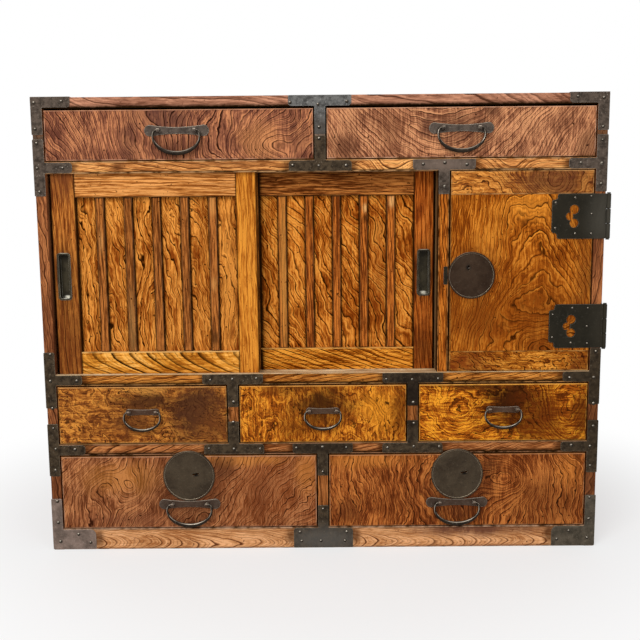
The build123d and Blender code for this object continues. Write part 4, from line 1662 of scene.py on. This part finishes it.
# Edges of the boards: dirt with painted shade, and paler lines of wear and painted highlight
NO_RIM = Rim(grime=0.0, rub=0.0)
RAIL_RIM = Rim(width=4.0, grime=0.85)
BACK_RIM = Rim(width=2.4, grime=0.95, rub=0.0)
TOP_FRONT_RIM = Rim(rub=0.8, crest=0.7)
SMALL_FRONT_RIM = Rim(rub=0.5, crest=0.9)
LOW_FRONT_RIM = Rim(rub=0.8, crest=0.8)
FRAME_RIM = Rim(width=2.2, grime=0.9, rub=0.0)
PALE_FRAME_RIM = Rim(width=2.0, grime=0.8, rub=0.0)
LOW_FRAME_RIM = Rim(width=2.2, grime=0.85, rub=0.0, crest=0.7)
PANEL_RIM = Rim(grime=1.0, rub=0.0)
BATTEN_RIM = Rim(width=2.4, grime=0.95, rub=0.15)
SWING_RIM = Rim(rub=0.2)
BOX_RIM = Rim(grime=0.25, rub=0.2)
BOX_FLOOR_RIM = Rim(grime=0.3, rub=0.1)

# The two sizes of handle and the heights of the three rows of drawers, in millimetres
LARGE_HANDLE = Handle(span=55.0, past_post=10.0, drop=37.5, bar=6.5)
SMALL_HANDLE = Handle(span=43.0, past_post=9.0, drop=31.0, bar=5.0)
TOP_ROW = 667.95
SMALL_ROW = 228.5
BOTTOM_ROW = 76.0

# The back boards lie one above the other
BACK_BOARDS = 4
BACK_BOARD_LOW = 23.0
BACK_BOARD_HIGH = 169.75

# Plain wood behind the front, and the bare sill where the doors run
SHELF_FACE = Wood(
    "shelf_face_wood", Lie.FLAT_ACROSS, (190, 146, 96), (164, 122, 76), (134, 96, 58), (100, 66, 38),
    along=4.0, cross=64.0, wander=2.0, wander_size=5.0, stretch=6.0, ripple=0.3, strength=0.5, streak=1.1,
    roughness=0.6, seed=23.0, rim=NO_RIM,
)
DIVIDER_FACE = Wood(
    "divider_face_wood", Lie.SIDE_UP, (186, 142, 92), (160, 118, 72), (130, 92, 54), (98, 64, 36),
    along=4.0, cross=70.0, wander=2.0, wander_size=5.0, stretch=6.0, ripple=0.3, strength=0.5, streak=1.1,
    roughness=0.6, seed=24.0, rim=NO_RIM,
    # painted shadow over the front 36 mm of both faces of every divider
    stains=(Stain(0, 450, ENDLESS, ENDLESS, (14, 7, 3), 1.0, 0.2, y=-199, deep=36),),
)
END_GRAIN = Wood(
    "end_grain_wood", Lie.SIDE_DEEP, (136, 84, 54), (108, 64, 40), (80, 44, 26), (50, 24, 12), along=30.0,
    cross=260.0, wander=2.0, stretch=1.5, ripple=0.5, strength=0.7, streak=1.0, roughness=0.5, seed=25.0,
    rim=NO_RIM,
)
SILL = Wood(
    "sill_wood", Lie.FLAT_ACROSS, (226, 200, 162), (204, 172, 130), (170, 132, 90), (124, 84, 50),
    cross=120.0, along=6.0, strength=0.5, seed=22.0, rim=NO_RIM,
)

CARCASS = Carcass((
    Board("left_side_board", Wood(
        "left_side_wood", Lie.SIDE_UP, (178, 112, 66), (140, 84, 50), (98, 54, 32), (58, 28, 14),
        along=14.0, cross=40.0, depth=90.0, arch=900.0, wander=3.0, wander_size=5.0, seed=11.0,
        stains=(Stain(-432, 658, 30, 9, (74, 62, 52), 0.95, 0.2, y=-200, deep=14),),
    ), END_GRAIN, 2),
    Board("right_side_board", Wood(
        "right_side_wood", Lie.SIDE_UP, (178, 112, 66), (140, 84, 50), (98, 54, 32), (58, 28, 14),
        along=-14.0, cross=34.0, depth=90.0, arch=800.0, arch_line=40.0, wander=3.0, wander_size=5.0,
        seed=12.0,
        stains=(
            Stain(432, 658, 30, 9, (88, 64, 46), 0.8, 0.2, y=-200, deep=14),
            Stain(432, 160, 30, 150, (64, 34, 18), 0.55, 0.4, y=-200, deep=30),
        ),
    ), END_GRAIN, 2),
    Board("top_board", Wood(
        "top_wood", Lie.FLAT_ACROSS, (198, 140, 110), (163, 111, 86), (112, 70, 52), (64, 34, 22),
        along=14.0, cross=46.0, depth=70.0, arch=320.0, arch_line=-30.0, wander=4.6, wander_size=6.0,
        stretch=2.6, line_width=0.18, seed=13.0, shade_low=6.0,
    ), END_GRAIN, 0),
    Board("back_panel", Wood(
        "back_wood", Lie.FRONT_ACROSS, (176, 138, 98), (150, 112, 76), (122, 88, 58), (92, 60, 38),
        along=3.0, cross=70.0, wander=2.4, wander_size=5.0, stretch=6.0, ripple=0.3, warp=4.0,
        strip_pitch=BACK_BOARD_HIGH, strip_start=BACK_BOARD_LOW, strip_half=84.9, strength=0.6, streak=1.1,
        roughness=0.7, seed=14.0, rim=BACK_RIM,
    )),
    Board("bottom_board", Wood(
        "bottom_wood", Lie.FLAT_ACROSS, (186, 150, 108), (164, 126, 86), (138, 102, 66), (108, 72, 44),
        along=10.0, cross=40.0, strength=0.6, roughness=0.7, seed=15.0,
    )),
    Board("base_rail", Wood(
        "base_wood", Lie.FRONT_ACROSS, (232, 174, 124), (206, 148, 98), (164, 106, 62), (98, 54, 28),
        along=46.0, arch=8000.0, arch_line=14.0, wander=3.0, ripple=0.5, stretch=2.0, warp=6.0,
        line_width=0.2, strength=1.0, seed=16.0, rim=RAIL_RIM,
        stains=(
            Stain(250, 31, 120, 15, (100, 62, 48), 0.95), Stain(250, 2, 120, 6, (176, 112, 68), 0.5),
            *halos(20, -366, -52, 52, 366),
        ),
    )),
    Board("upper_shelf", Wood(
        "upper_shelf_wood", Lie.FRONT_ACROSS, (246, 176, 102), (208, 136, 74), (142, 84, 40), (58, 26, 10),
        along=16.0, cross=150.0, arch=1200.0, arch_line=606.0, wander=3.6, wander_size=6.0, ripple=0.6,
        stretch=3.0, strength=1.0, streak=2.2, seed=17.0, shade_low=4.0,
        swirls=(Swirl(110, 600, 50, 30, 5.0), Swirl(290, 600, 40, 30, 5.0)),
        stains=(
            Stain(-310, 613, 14, 14, (104, 58, 30), 0.9), Stain(-150, 618, 70, 7, (140, 84, 44), 0.6),
            *halos(613, -380, -50, 50, 147, 237, 380),
        ),
    ), SHELF_FACE, 2),
    Board("middle_shelf", Wood(
        "middle_shelf_wood", Lie.FRONT_ACROSS, (216, 142, 63), (178, 107, 42), (116, 60, 18), (58, 26, 6),
        along=-30.0, cross=130.0, wander=4.0, wander_size=8.0, ripple=0.5, stretch=2.4, strength=1.3,
        streak=2.7, shade_low=7.0, seed=18.0, rim=RAIL_RIM,
        stains=halos(280, -380, -186, -97, 96, 190, 380),
    ), SHELF_FACE, 2),
    Board("lower_shelf", Wood(
        "lower_shelf_wood", Lie.FRONT_ACROSS, (192, 125, 73), (152, 90, 48), (104, 54, 24), (58, 26, 10),
        along=-34.0, cross=120.0, wander=4.0, wander_size=8.0, ripple=0.5, stretch=2.4, strength=1.2,
        streak=2.2, shade_low=7.0, seed=19.0, rim=RAIL_RIM,
        stains=halos(167, -380, -186, -97, -46, 46, 97, 190, 380),
    ), SHELF_FACE, 2),
    Board("drawer_dividers", Wood(
        "divider_wood", Lie.FRONT_UP, (184, 116, 62), (148, 88, 44), (104, 56, 24), (62, 30, 12),
        cross=120.0, seed=20.0, rim=RAIL_RIM, stains=(Stain(0, 661, 30, 8, (120, 108, 96), 0.9, 0.2),),
    ), DIVIDER_FACE, 0),
    Board("door_divider", Wood(
        "door_divider_wood", Lie.FRONT_UP, (214, 128, 46), (170, 90, 26), (108, 50, 12), (54, 22, 4),
        cross=150.0, along=10.0, streak=2.4, strength=1.2, seed=21.0, rim=RAIL_RIM,
        # painted shade in the gap beside the swing door
        stains=(Stain(200, 450, 4, ENDLESS, (8, 4, 2), 1.0, 0.1),),
    ), DIVIDER_FACE, 0),
), SILL)

DRAWERS = (
    # The two top drawers' paler, greyer colours carry a painted sheen as well as the wood's own colour
    Drawer("top_left_drawer", Wood(
        "top_left_wood", Lie.FRONT_UP, (200, 131, 88), (146, 90, 64), (96, 54, 42), (36, 14, 10),
        along=-6.0, cross=82.6, wander=6.0, wander_size=8.5, stretch=1.0, ripple=0.7, warp=14.0,
        warp_size=20.0, line_width=0.18, strength=1.25, streak=1.7, seed=31.0, rim=TOP_FRONT_RIM,
        swirls=(Swirl(-432, 614, 112, 100, -10.0), Swirl(-92, 644, 40, 24, 5.0)),
        stains=(
            Stain(-236, 690, 56, 30, (86, 54, 46), 0.7), Stain(-292, 650, 20, 44, (88, 54, 44), 0.6),
            Stain(-215, 640, 62, 28, (92, 54, 42), 0.6), Stain(-28, 655, 30, 30, (108, 66, 46), 0.5),
            Stain(-90, 650, 44, 36, (206, 138, 80), 0.35),
        ),
    ), LARGE_HANDLE, -218.425, TOP_ROW),
    Drawer("top_right_drawer", Wood(
        "top_right_wood", Lie.FRONT_UP, (212, 148, 103), (164, 106, 74), (108, 64, 44), (38, 16, 10),
        along=-115.0, arch=560.0, arch_line=190.0, cross=0.0, wander=3.2, wander_size=9.0, stretch=1.0,
        ripple=0.6, warp=8.0, line_width=0.19, strength=1.25, streak=2.0, seed=32.0, rim=TOP_FRONT_RIM,
        stains=(
            Stain(36, 640, 26, 30, (98, 60, 42), 0.7), Stain(108, 662, 26, 44, (118, 72, 48), 0.5),
            Stain(165, 672, 16, 22, (96, 60, 46), 0.7), Stain(222, 668, 52, 28, (98, 62, 44), 0.7),
            Stain(262, 694, 20, 9, (92, 56, 40), 0.7), Stain(412, 636, 20, 36, (104, 66, 44), 0.6),
        ),
    ), LARGE_HANDLE, 215.625, TOP_ROW),
    Drawer("small_left_drawer", Wood(
        "small_left_wood", Lie.FRONT_ACROSS, (210, 138, 58), (158, 93, 37), (98, 50, 22), (42, 18, 8),
        along=50.0, cross=60.0, wander=3.6, wander_size=34.0, stretch=1.1, ripple=0.9, warp=7.0,
        warp_size=48.0, line_width=0.22, streak=1.9, seed=33.0, rim=SMALL_FRONT_RIM,
        stains=(
            Stain(-206, 228, 60, 66, (72, 42, 27), 0.95), Stain(-280, 244, 60, 18, (66, 38, 22), 0.9),
            Stain(-300, 216, 60, 26, (104, 60, 30), 0.7), Stain(-170, 200, 40, 40, (104, 58, 28), 0.7),
            Stain(-280, 266, 50, 10, (204, 146, 70), 0.5),
        ),
    ), SMALL_HANDLE, -286.625, SMALL_ROW),
    Drawer("small_middle_drawer", Wood(
        "small_middle_wood", Lie.FRONT_UP, (230, 148, 46), (170, 91, 23), (104, 47, 12), (40, 16, 4),
        along=40.0, cross=90.0, wander=4.4, wander_size=32.0, stretch=1.3, ripple=0.9, warp=7.0,
        warp_size=48.0, line_width=0.2, streak=1.9, seed=34.0, rim=SMALL_FRONT_RIM,
        stains=(
            Stain(0, 240, 62, 46, (58, 30, 12), 0.95), Stain(-60, 266, 60, 12, (96, 50, 16), 0.6),
            Stain(90, 230, 36, 40, (226, 146, 40), 0.5), Stain(124, 226, 18, 60, (96, 48, 12), 0.7),
            Stain(-40, 200, 40, 24, (110, 58, 14), 0.6),
        ),
    ), SMALL_HANDLE, 0.9, SMALL_ROW),
    Drawer("small_right_drawer", Wood(
        "small_right_wood", Lie.FRONT_ACROSS, (246, 162, 44), (174, 90, 20), (92, 40, 8), (38, 14, 4),
        along=36.0, cross=60.0, wander=2.8, wander_size=24.0, stretch=1.3, ripple=0.9, warp=8.0,
        warp_size=42.0, line_width=0.2, streak=1.9, seed=35.0, rim=SMALL_FRONT_RIM,
        swirls=(Swirl(216, 226, 44, 34, 8.0), Swirl(392, 224, 30, 60, 8.0)),
        stains=(
            Stain(304, 236, 66, 56, (50, 22, 8), 1.0), Stain(350, 214, 60, 60, (98, 42, 10), 0.85),
            Stain(418, 222, 26, 70, (86, 40, 10), 0.8), Stain(240, 268, 90, 10, (70, 34, 12), 0.85),
        ),
    ), SMALL_HANDLE, 287.525, SMALL_ROW),
    Drawer("bottom_left_drawer", Wood(
        "bottom_left_wood", Lie.FRONT_UP, (190, 126, 80), (147, 89, 54), (102, 54, 30), (46, 18, 8),
        along=-75.0, cross=95.0, wander=4.5, wander_size=9.0, stretch=1.0, ripple=1.1, warp=10.0,
        line_width=0.15, strength=1.15, streak=2.0, seed=36.0, rim=LOW_FRONT_RIM,
        swirls=(
            Swirl(-352, 108, 34, 30, 5.0), Swirl(-312, 104, 26, 24, -3.5), Swirl(-388, 80, 24, 36, 4.0),
        ),
        stains=(
            Stain(-90, 104, 120, 90, (132, 68, 30), 0.5), Stain(-322, 118, 76, 32, (182, 116, 50), 0.5),
            Stain(-130, 150, 80, 14, (204, 132, 60), 0.5), Stain(-28, 126, 26, 40, (196, 124, 58), 0.5),
            Stain(-215, 92, 76, 62, (82, 45, 28), 0.75), Stain(-160, 138, 24, 30, (78, 44, 28), 0.6),
            Stain(-102, 92, 22, 44, (112, 58, 32), 0.6), Stain(-320, 50, 100, 16, (124, 74, 50), 0.6),
        ),
    ), LARGE_HANDLE, -215.625, BOTTOM_ROW, locked=True),
    Drawer("bottom_right_drawer", Wood(
        "bottom_right_wood", Lie.FRONT_UP, (192, 116, 56), (142, 75, 33), (94, 42, 16), (38, 14, 5),
        along=12.0, cross=110.0, wander=6.0, wander_size=9.0, stretch=1.2, ripple=1.3, warp=10.0,
        line_width=0.16, strength=1.2, streak=2.1, seed=37.0, rim=LOW_FRONT_RIM,
        swirls=(Swirl(300, 116, 46, 36, -9.0),),
        stains=(
            Stain(60, 146, 90, 16, (194, 120, 50), 0.5), Stain(394, 126, 26, 50, (190, 114, 46), 0.5),
            Stain(215, 92, 78, 64, (76, 39, 22), 0.75), Stain(268, 138, 26, 30, (72, 38, 22), 0.6),
            Stain(372, 74, 70, 50, (92, 44, 18), 0.5), Stain(40, 60, 36, 30, (92, 46, 24), 0.6),
        ),
    ), LARGE_HANDLE, 215.625, BOTTOM_ROW, locked=True),
)

LEFT_DOOR = SlidingDoor(
    "left_sliding_door", 37.0, 31.0, 41.0, 37.0,
    (
        Wood(
            "left_outer_stile_wood", Lie.FRONT_UP, (200, 126, 54), (156, 88, 36), (104, 50, 18),
            (58, 26, 10), cross=150.0, along=8.0, warp=2.0, streak=2.3, seed=41.0, rim=FRAME_RIM,
            stains=(
                Stain(-400, 340, 44, 110, (92, 45, 19), 0.65), Stain(-400, 600, 44, 40, (104, 56, 32), 0.7),
                Stain(-403, 447, 24, 60, (54, 26, 11), 0.9, 0.4),
            ),
        ),
        Wood(
            "left_inner_stile_wood", Lie.FRONT_UP, (222, 144, 52), (188, 112, 36), (150, 80, 20),
            (92, 44, 10), cross=140.0, along=5.0, warp=2.0, strength=0.8, streak=2.5, seed=42.0,
            rim=PALE_FRAME_RIM,
        ),
        Wood(
            "left_low_rail_wood", Lie.FRONT_ACROSS, (246, 178, 86), (212, 138, 46), (158, 90, 22),
            (24, 8, 0), along=36.0, arch=-1300.0, arch_line=330.0, cross=0.0, wander=0.6, ripple=0.15,
            warp=3.0, line_width=0.34, strength=1.0, streak=2.0, seed=43.0, rim=LOW_FRAME_RIM,
        ),
        Wood(
            "left_high_rail_wood", Lie.FRONT_ACROSS, (230, 158, 88), (184, 114, 52), (136, 74, 28),
            (70, 34, 10), cross=200.0, along=3.0, wander=0.8, ripple=0.3, warp=2.0, streak=2.7, seed=44.0,
            rim=FRAME_RIM,
        ),
    ),
    Wood(
        "left_panel_wood", Lie.FRONT_UP, (228, 148, 64), (180, 106, 38), (124, 56, 12), (34, 10, 0),
        along=20.0, cross=120.0, wander=4.0, wander_size=14.0, stretch=2.2, ripple=1.2, warp=7.0,
        warp_size=45.0, line_width=0.17, strength=1.15, streak=2.0, strip_pitch=43.93, strip_start=-388.0,
        strip_half=15.46, seed=45.0, rim=PANEL_RIM,
        stains=(Stain(-146, 440, 14, 130, (230, 152, 66), 0.5, 0.8),),
    ),
    Wood(
        "left_batten_wood", Lie.FRONT_UP, (190, 116, 54), (146, 84, 37), (96, 50, 20), (50, 22, 8),
        along=6.0, cross=200.0, warp=2.0, strength=1.1, streak=2.6, strip_pitch=43.93, strip_start=-366.04,
        strip_half=6.5, seed=46.0, rim=BATTEN_RIM,
        stains=(
            Stain(-344, 500, 5, 26, (214, 150, 84), 0.6, 0.8),
            Stain(-300, 370, 7, 80, (150, 112, 64), 0.6, 0.5),
            Stain(-169, 556, 6, 26, (206, 140, 74), 0.7, 0.8),
            Stain(-169, 432, 5, 14, (206, 140, 74), 0.7, 0.8),
            Stain(-169, 346, 7, 16, (60, 34, 16), 0.8, 0.6),
        ),
    ),
)

# Painted shadow on the right door along the edge of the left one
PASSING = Stain(-98, 447, 6, ENDLESS, (8, 4, 2), 1.0, 0.1)
RIGHT_DOOR = SlidingDoor(
    "right_sliding_door", 42.0, 31.0, 41.0, 37.0,
    (
        Wood(
            "right_inner_stile_wood", Lie.FRONT_UP, (200, 124, 52), (156, 88, 32), (108, 54, 16),
            (58, 26, 8), cross=140.0, along=8.0, warp=2.0, seed=51.0, rim=FRAME_RIM,
        ),
        Wood(
            "right_outer_stile_wood", Lie.FRONT_UP, (212, 120, 46), (170, 84, 26), (114, 48, 14),
            (56, 20, 4), cross=150.0, along=8.0, warp=2.0, streak=2.3, seed=52.0, rim=FRAME_RIM,
            stains=(
                Stain(162, 330, 30, 60, (80, 38, 14), 0.7), Stain(163, 447, 24, 60, (50, 22, 9), 0.9, 0.4),
            ),
        ),
        Wood(
            "right_low_rail_wood", Lie.FRONT_ACROSS, (240, 160, 58), (204, 120, 32), (126, 60, 8),
            (36, 12, 0), along=50.0, cross=120.0, wander=1.4, ripple=0.4, warp=3.0, line_width=0.28,
            strength=1.1, streak=2.6, seed=53.0, rim=LOW_FRAME_RIM, stains=(PASSING,),
        ),
        # The high rail's darker colours and the dark band along its top are painted shade under the upper
        # shelf
        Wood(
            "right_high_rail_wood", Lie.FRONT_ACROSS, (200, 126, 60), (142, 79, 33), (84, 38, 12),
            (40, 16, 4), cross=190.0, along=4.0, wander=1.0, warp=2.0, strength=1.2, streak=3.0, seed=54.0,
            rim=FRAME_RIM, stains=(PASSING, Stain(60, 609, 300, 12, (40, 18, 6), 0.6)),
        ),
    ),
    Wood(
        "right_panel_wood", Lie.FRONT_UP, (226, 145, 58), (180, 100, 30), (120, 52, 8), (34, 10, 0),
        along=46.0, cross=68.0, wander=3.6, wander_size=8.0, stretch=1.0, ripple=0.8, warp=9.0,
        line_width=0.17, strength=1.15, streak=2.0, strip_pitch=43.096, strip_start=-104.43,
        strip_half=15.05, one_board=True, seed=55.0, rim=PANEL_RIM,
        stains=(PASSING, Stain(92, 440, 16, 130, (122, 54, 14), 0.5, 0.8)),
    ),
    Wood(
        "right_batten_wood", Lie.FRONT_UP, (206, 118, 46), (156, 82, 29), (104, 48, 15), (54, 22, 6),
        along=6.0, cross=200.0, warp=2.0, strength=1.1, streak=2.6, strip_pitch=43.096, strip_start=-82.88,
        strip_half=6.5, seed=56.0, rim=BATTEN_RIM,
        stains=(
            Stain(-59, 450, 10, 200, (196, 138, 66), 0.6, 0.2),
            Stain(70, 548, 6, 10, (226, 166, 100), 0.9, 0.9),
            Stain(112, 558, 6, 13, (226, 166, 100), 0.9, 0.9), Stain(71, 532, 7, 9, (50, 22, 8), 0.8, 0.8),
        ),
    ),
)

SWING_DOOR = SwingDoor(
    Wood(
        "swing_panel_wood", Lie.FRONT_UP, (216, 134, 45), (168, 90, 21), (112, 50, 8), (50, 18, 2),
        along=51.2, cross=0.0, arch=1150.0, arch_line=334.0, wander=3.2, wander_size=8.0, stretch=1.2,
        ripple=1.2, warp=9.0, line_width=0.17, strength=1.05, streak=1.9, seed=61.0, rim=SWING_RIM,
        swirls=(Swirl(345, 318, 60, 52, 13.0), Swirl(268, 545, 30, 40, -2.0)),
        stains=(
            Stain(322, 548, 56, 28, (228, 144, 48), 0.5), Stain(300, 390, 160, 120, (120, 56, 12), 0.5),
            Stain(412, 440, 22, 110, (106, 54, 20), 0.6), Stain(234, 443, 56, 56, (92, 42, 14), 0.7),
            Stain(345, 322, 30, 24, (104, 48, 14), 0.6), Stain(240, 360, 60, 50, (118, 56, 14), 0.6),
            Stain(340, 380, 70, 60, (126, 62, 14), 0.5), Stain(396, 533, 60, 48, (84, 40, 12), 0.3),
            Stain(396, 362, 60, 48, (84, 40, 12), 0.3),
        ),
    ),
    Wood(
        "swing_low_cleat_wood", Lie.FRONT_ACROSS, (218, 144, 54), (168, 96, 26), (104, 46, 10), (50, 18, 4),
        along=40.0, cross=80.0, wander=3.6, wander_size=24.0, stretch=1.4, ripple=1.0, strength=1.1,
        streak=1.8, seed=62.0,
        stains=(Stain(232, 307, 52, 36, (112, 50, 18), 0.7), Stain(408, 300, 22, 30, (96, 46, 18), 0.6)),
    ),
    Wood(
        "swing_high_cleat_wood", Lie.FRONT_ACROSS, (230, 154, 72), (180, 108, 42), (112, 56, 22),
        (58, 26, 10), along=40.0, cross=80.0, wander=4.0, wander_size=18.0, stretch=1.4, ripple=1.0,
        strength=1.1, streak=1.8, seed=63.0, swirls=(Swirl(352, 585, 40, 40, 9.0),),
        stains=(Stain(366, 585, 90, 40, (92, 50, 32), 0.85),),
    ),
)

INSIDE = Inside(
    Wood(
        "box_side_wood", Lie.SIDE_DEEP, (216, 180, 130), (198, 158, 108), (172, 130, 84), (138, 96, 58),
        along=8.0, cross=95.0, wander=1.2, line_width=0.6, strength=0.5, roughness=0.6, seed=3.0,
        rim=BOX_RIM,
    ),
    Wood(
        "box_floor_wood", Lie.FLAT_ACROSS, (210, 174, 126), (190, 150, 102), (166, 124, 80), (138, 96, 58),
        along=8.0, cross=60.0, wander=1.6, line_width=0.6, strength=0.5, roughness=0.62, seed=4.0,
        rim=BOX_FLOOR_RIM,
    ),
    Wood(
        "box_rear_wood", Lie.FRONT_ACROSS, (212, 176, 128), (192, 152, 104), (168, 126, 82), (138, 96, 58),
        along=8.0, cross=80.0, wander=1.4, line_width=0.6, strength=0.5, roughness=0.6, seed=5.0,
        rim=BOX_RIM,
    ),
    Wood(
        "front_edge_wood", Lie.FLAT_ACROSS, (172, 116, 62), (142, 90, 46), (108, 64, 30), (74, 40, 18),
        along=4.0, cross=120.0, wander=1.0, stretch=6.0, ripple=0.3, strength=0.6, streak=1.2,
        roughness=0.5, seed=6.0, rim=NO_RIM,
    ),
)

# Nails down each side, and down both ends of the four back boards, in millimetres
SIDE_NAILS = tuple((-180, up) for up in (700, 676, 648, 613, 580, 318, 281, 244, 203, 167, 132, 74, 20))
BACK_NAIL_X = 426.5
BACK_NAILS = tuple(
    (side * BACK_NAIL_X, BACK_BOARD_LOW + BACK_BOARD_HIGH * (board + share))
    for board in range(BACK_BOARDS) for share in (0.14, 0.5, 0.86) for side in (-1, 1))
IRONS = Irons((
    Nails("carcass_nails", "carcass", (
        (-434, 672), (-434, 711), (-392, 713), (-433, 650.5), (-434, 613), (-395, 613), (-432, 577),
        (-429, 323), (-431, 280), (-389, 280), (-430, 236), (-430, 203), (-428, 169), (-397, 168),
        (-430, 134), (-430, 82), (-430, 46), (-428, 14), (-398, 26), (-379, 12), (391.5, 713), (431, 711),
        (431, 668), (431, 648), (399, 614), (431, 613), (431, 582), (432, 321), (392, 279), (430, 279),
        (431, 237), (432, 200), (398, 169), (428, 167), (429, 135), (430, 82), (430, 46), (428, 14),
        (398, 26), (379, 12), (-45, 708), (-2.5, 705), (41, 709), (-1, 671), (-1, 654), (-42, 614),
        (-2, 613), (40, 613), (158, 614), (191, 616), (225, 613), (191, 580), (-177, 280), (-142, 281),
        (-104, 282), (-141, 244), (-142, 211), (-182, 168), (-142, 167), (-100, 167), (102, 279),
        (143, 278), (184, 279), (145, 241), (146, 207), (104, 167), (146, 169), (187, 168), (0, 169),
        (38, 168), (-42, 168), (0, 128), (0, 66), (38, 27), (-38, 27), (-35, 12), (-4, 12), (35, 12),
    ), IRON_Y),
    Nails("left_side_nails", "carcass", SIDE_NAILS, SIDE_X, Facing.LEFT),
    Nails("right_side_nails", "carcass", SIDE_NAILS, SIDE_X, Facing.RIGHT),
    Nails("door_hinge_nails", "swing_door", (
        (362, 553.5), (391.5, 561), (416.5, 563), (417.5, 536), (362, 514.5), (393, 506), (417.5, 506),
        (362, 380), (392.5, 390), (416.5, 390), (416, 361), (362, 344), (391.5, 335), (417, 334),
    ), LEAF_Y, radius=2.2),
    Nails("side_hinge_nails", "carcass", (
        (-186, 555), (-186, 511), (-160, 560), (-160, 506), (-186, 384), (-186, 340), (-160, 389),
        (-160, 335),
    ), HINGE_SIDE_X, Facing.RIGHT, radius=2.2),
    Nails("back_nails", "carcass", BACK_NAILS, BACK_Y, Facing.BACK, radius=2.4, height=0.8),
))

STUDIO = Studio((
    Lamp("key", (-1.3, -2.6, 2.3), (0.0, -0.2, 0.4), 1.8, 62.0),
    Lamp("fill", (1.6, -2.4, 1.2), (0.0, -0.2, 0.35), 1.6, 14.0),
))


def main() -> None:
    """Dress the chest piece by piece, then set up the studio."""
    logging.basicConfig(level=logging.INFO, format="%(name)s: %(message)s")
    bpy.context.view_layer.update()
    CARCASS.dress()
    INSIDE.prepare()
    plate, bar, lock, bolt, pull = (iron.material() for iron in (PLATE, BAR, LOCK, BOLT, PULL))
    for drawer in DRAWERS:
        drawer.dress(INSIDE, plate, lock, bolt)
        drawer.build_bail(bar)
    for door in (LEFT_DOOR, RIGHT_DOOR):
        door.dress(pull)
    SWING_DOOR.dress(INSIDE, bolt)
    IRONS.dress()
    IRONS.build()
    STUDIO.build()


if __name__ == "__main__":
    main()
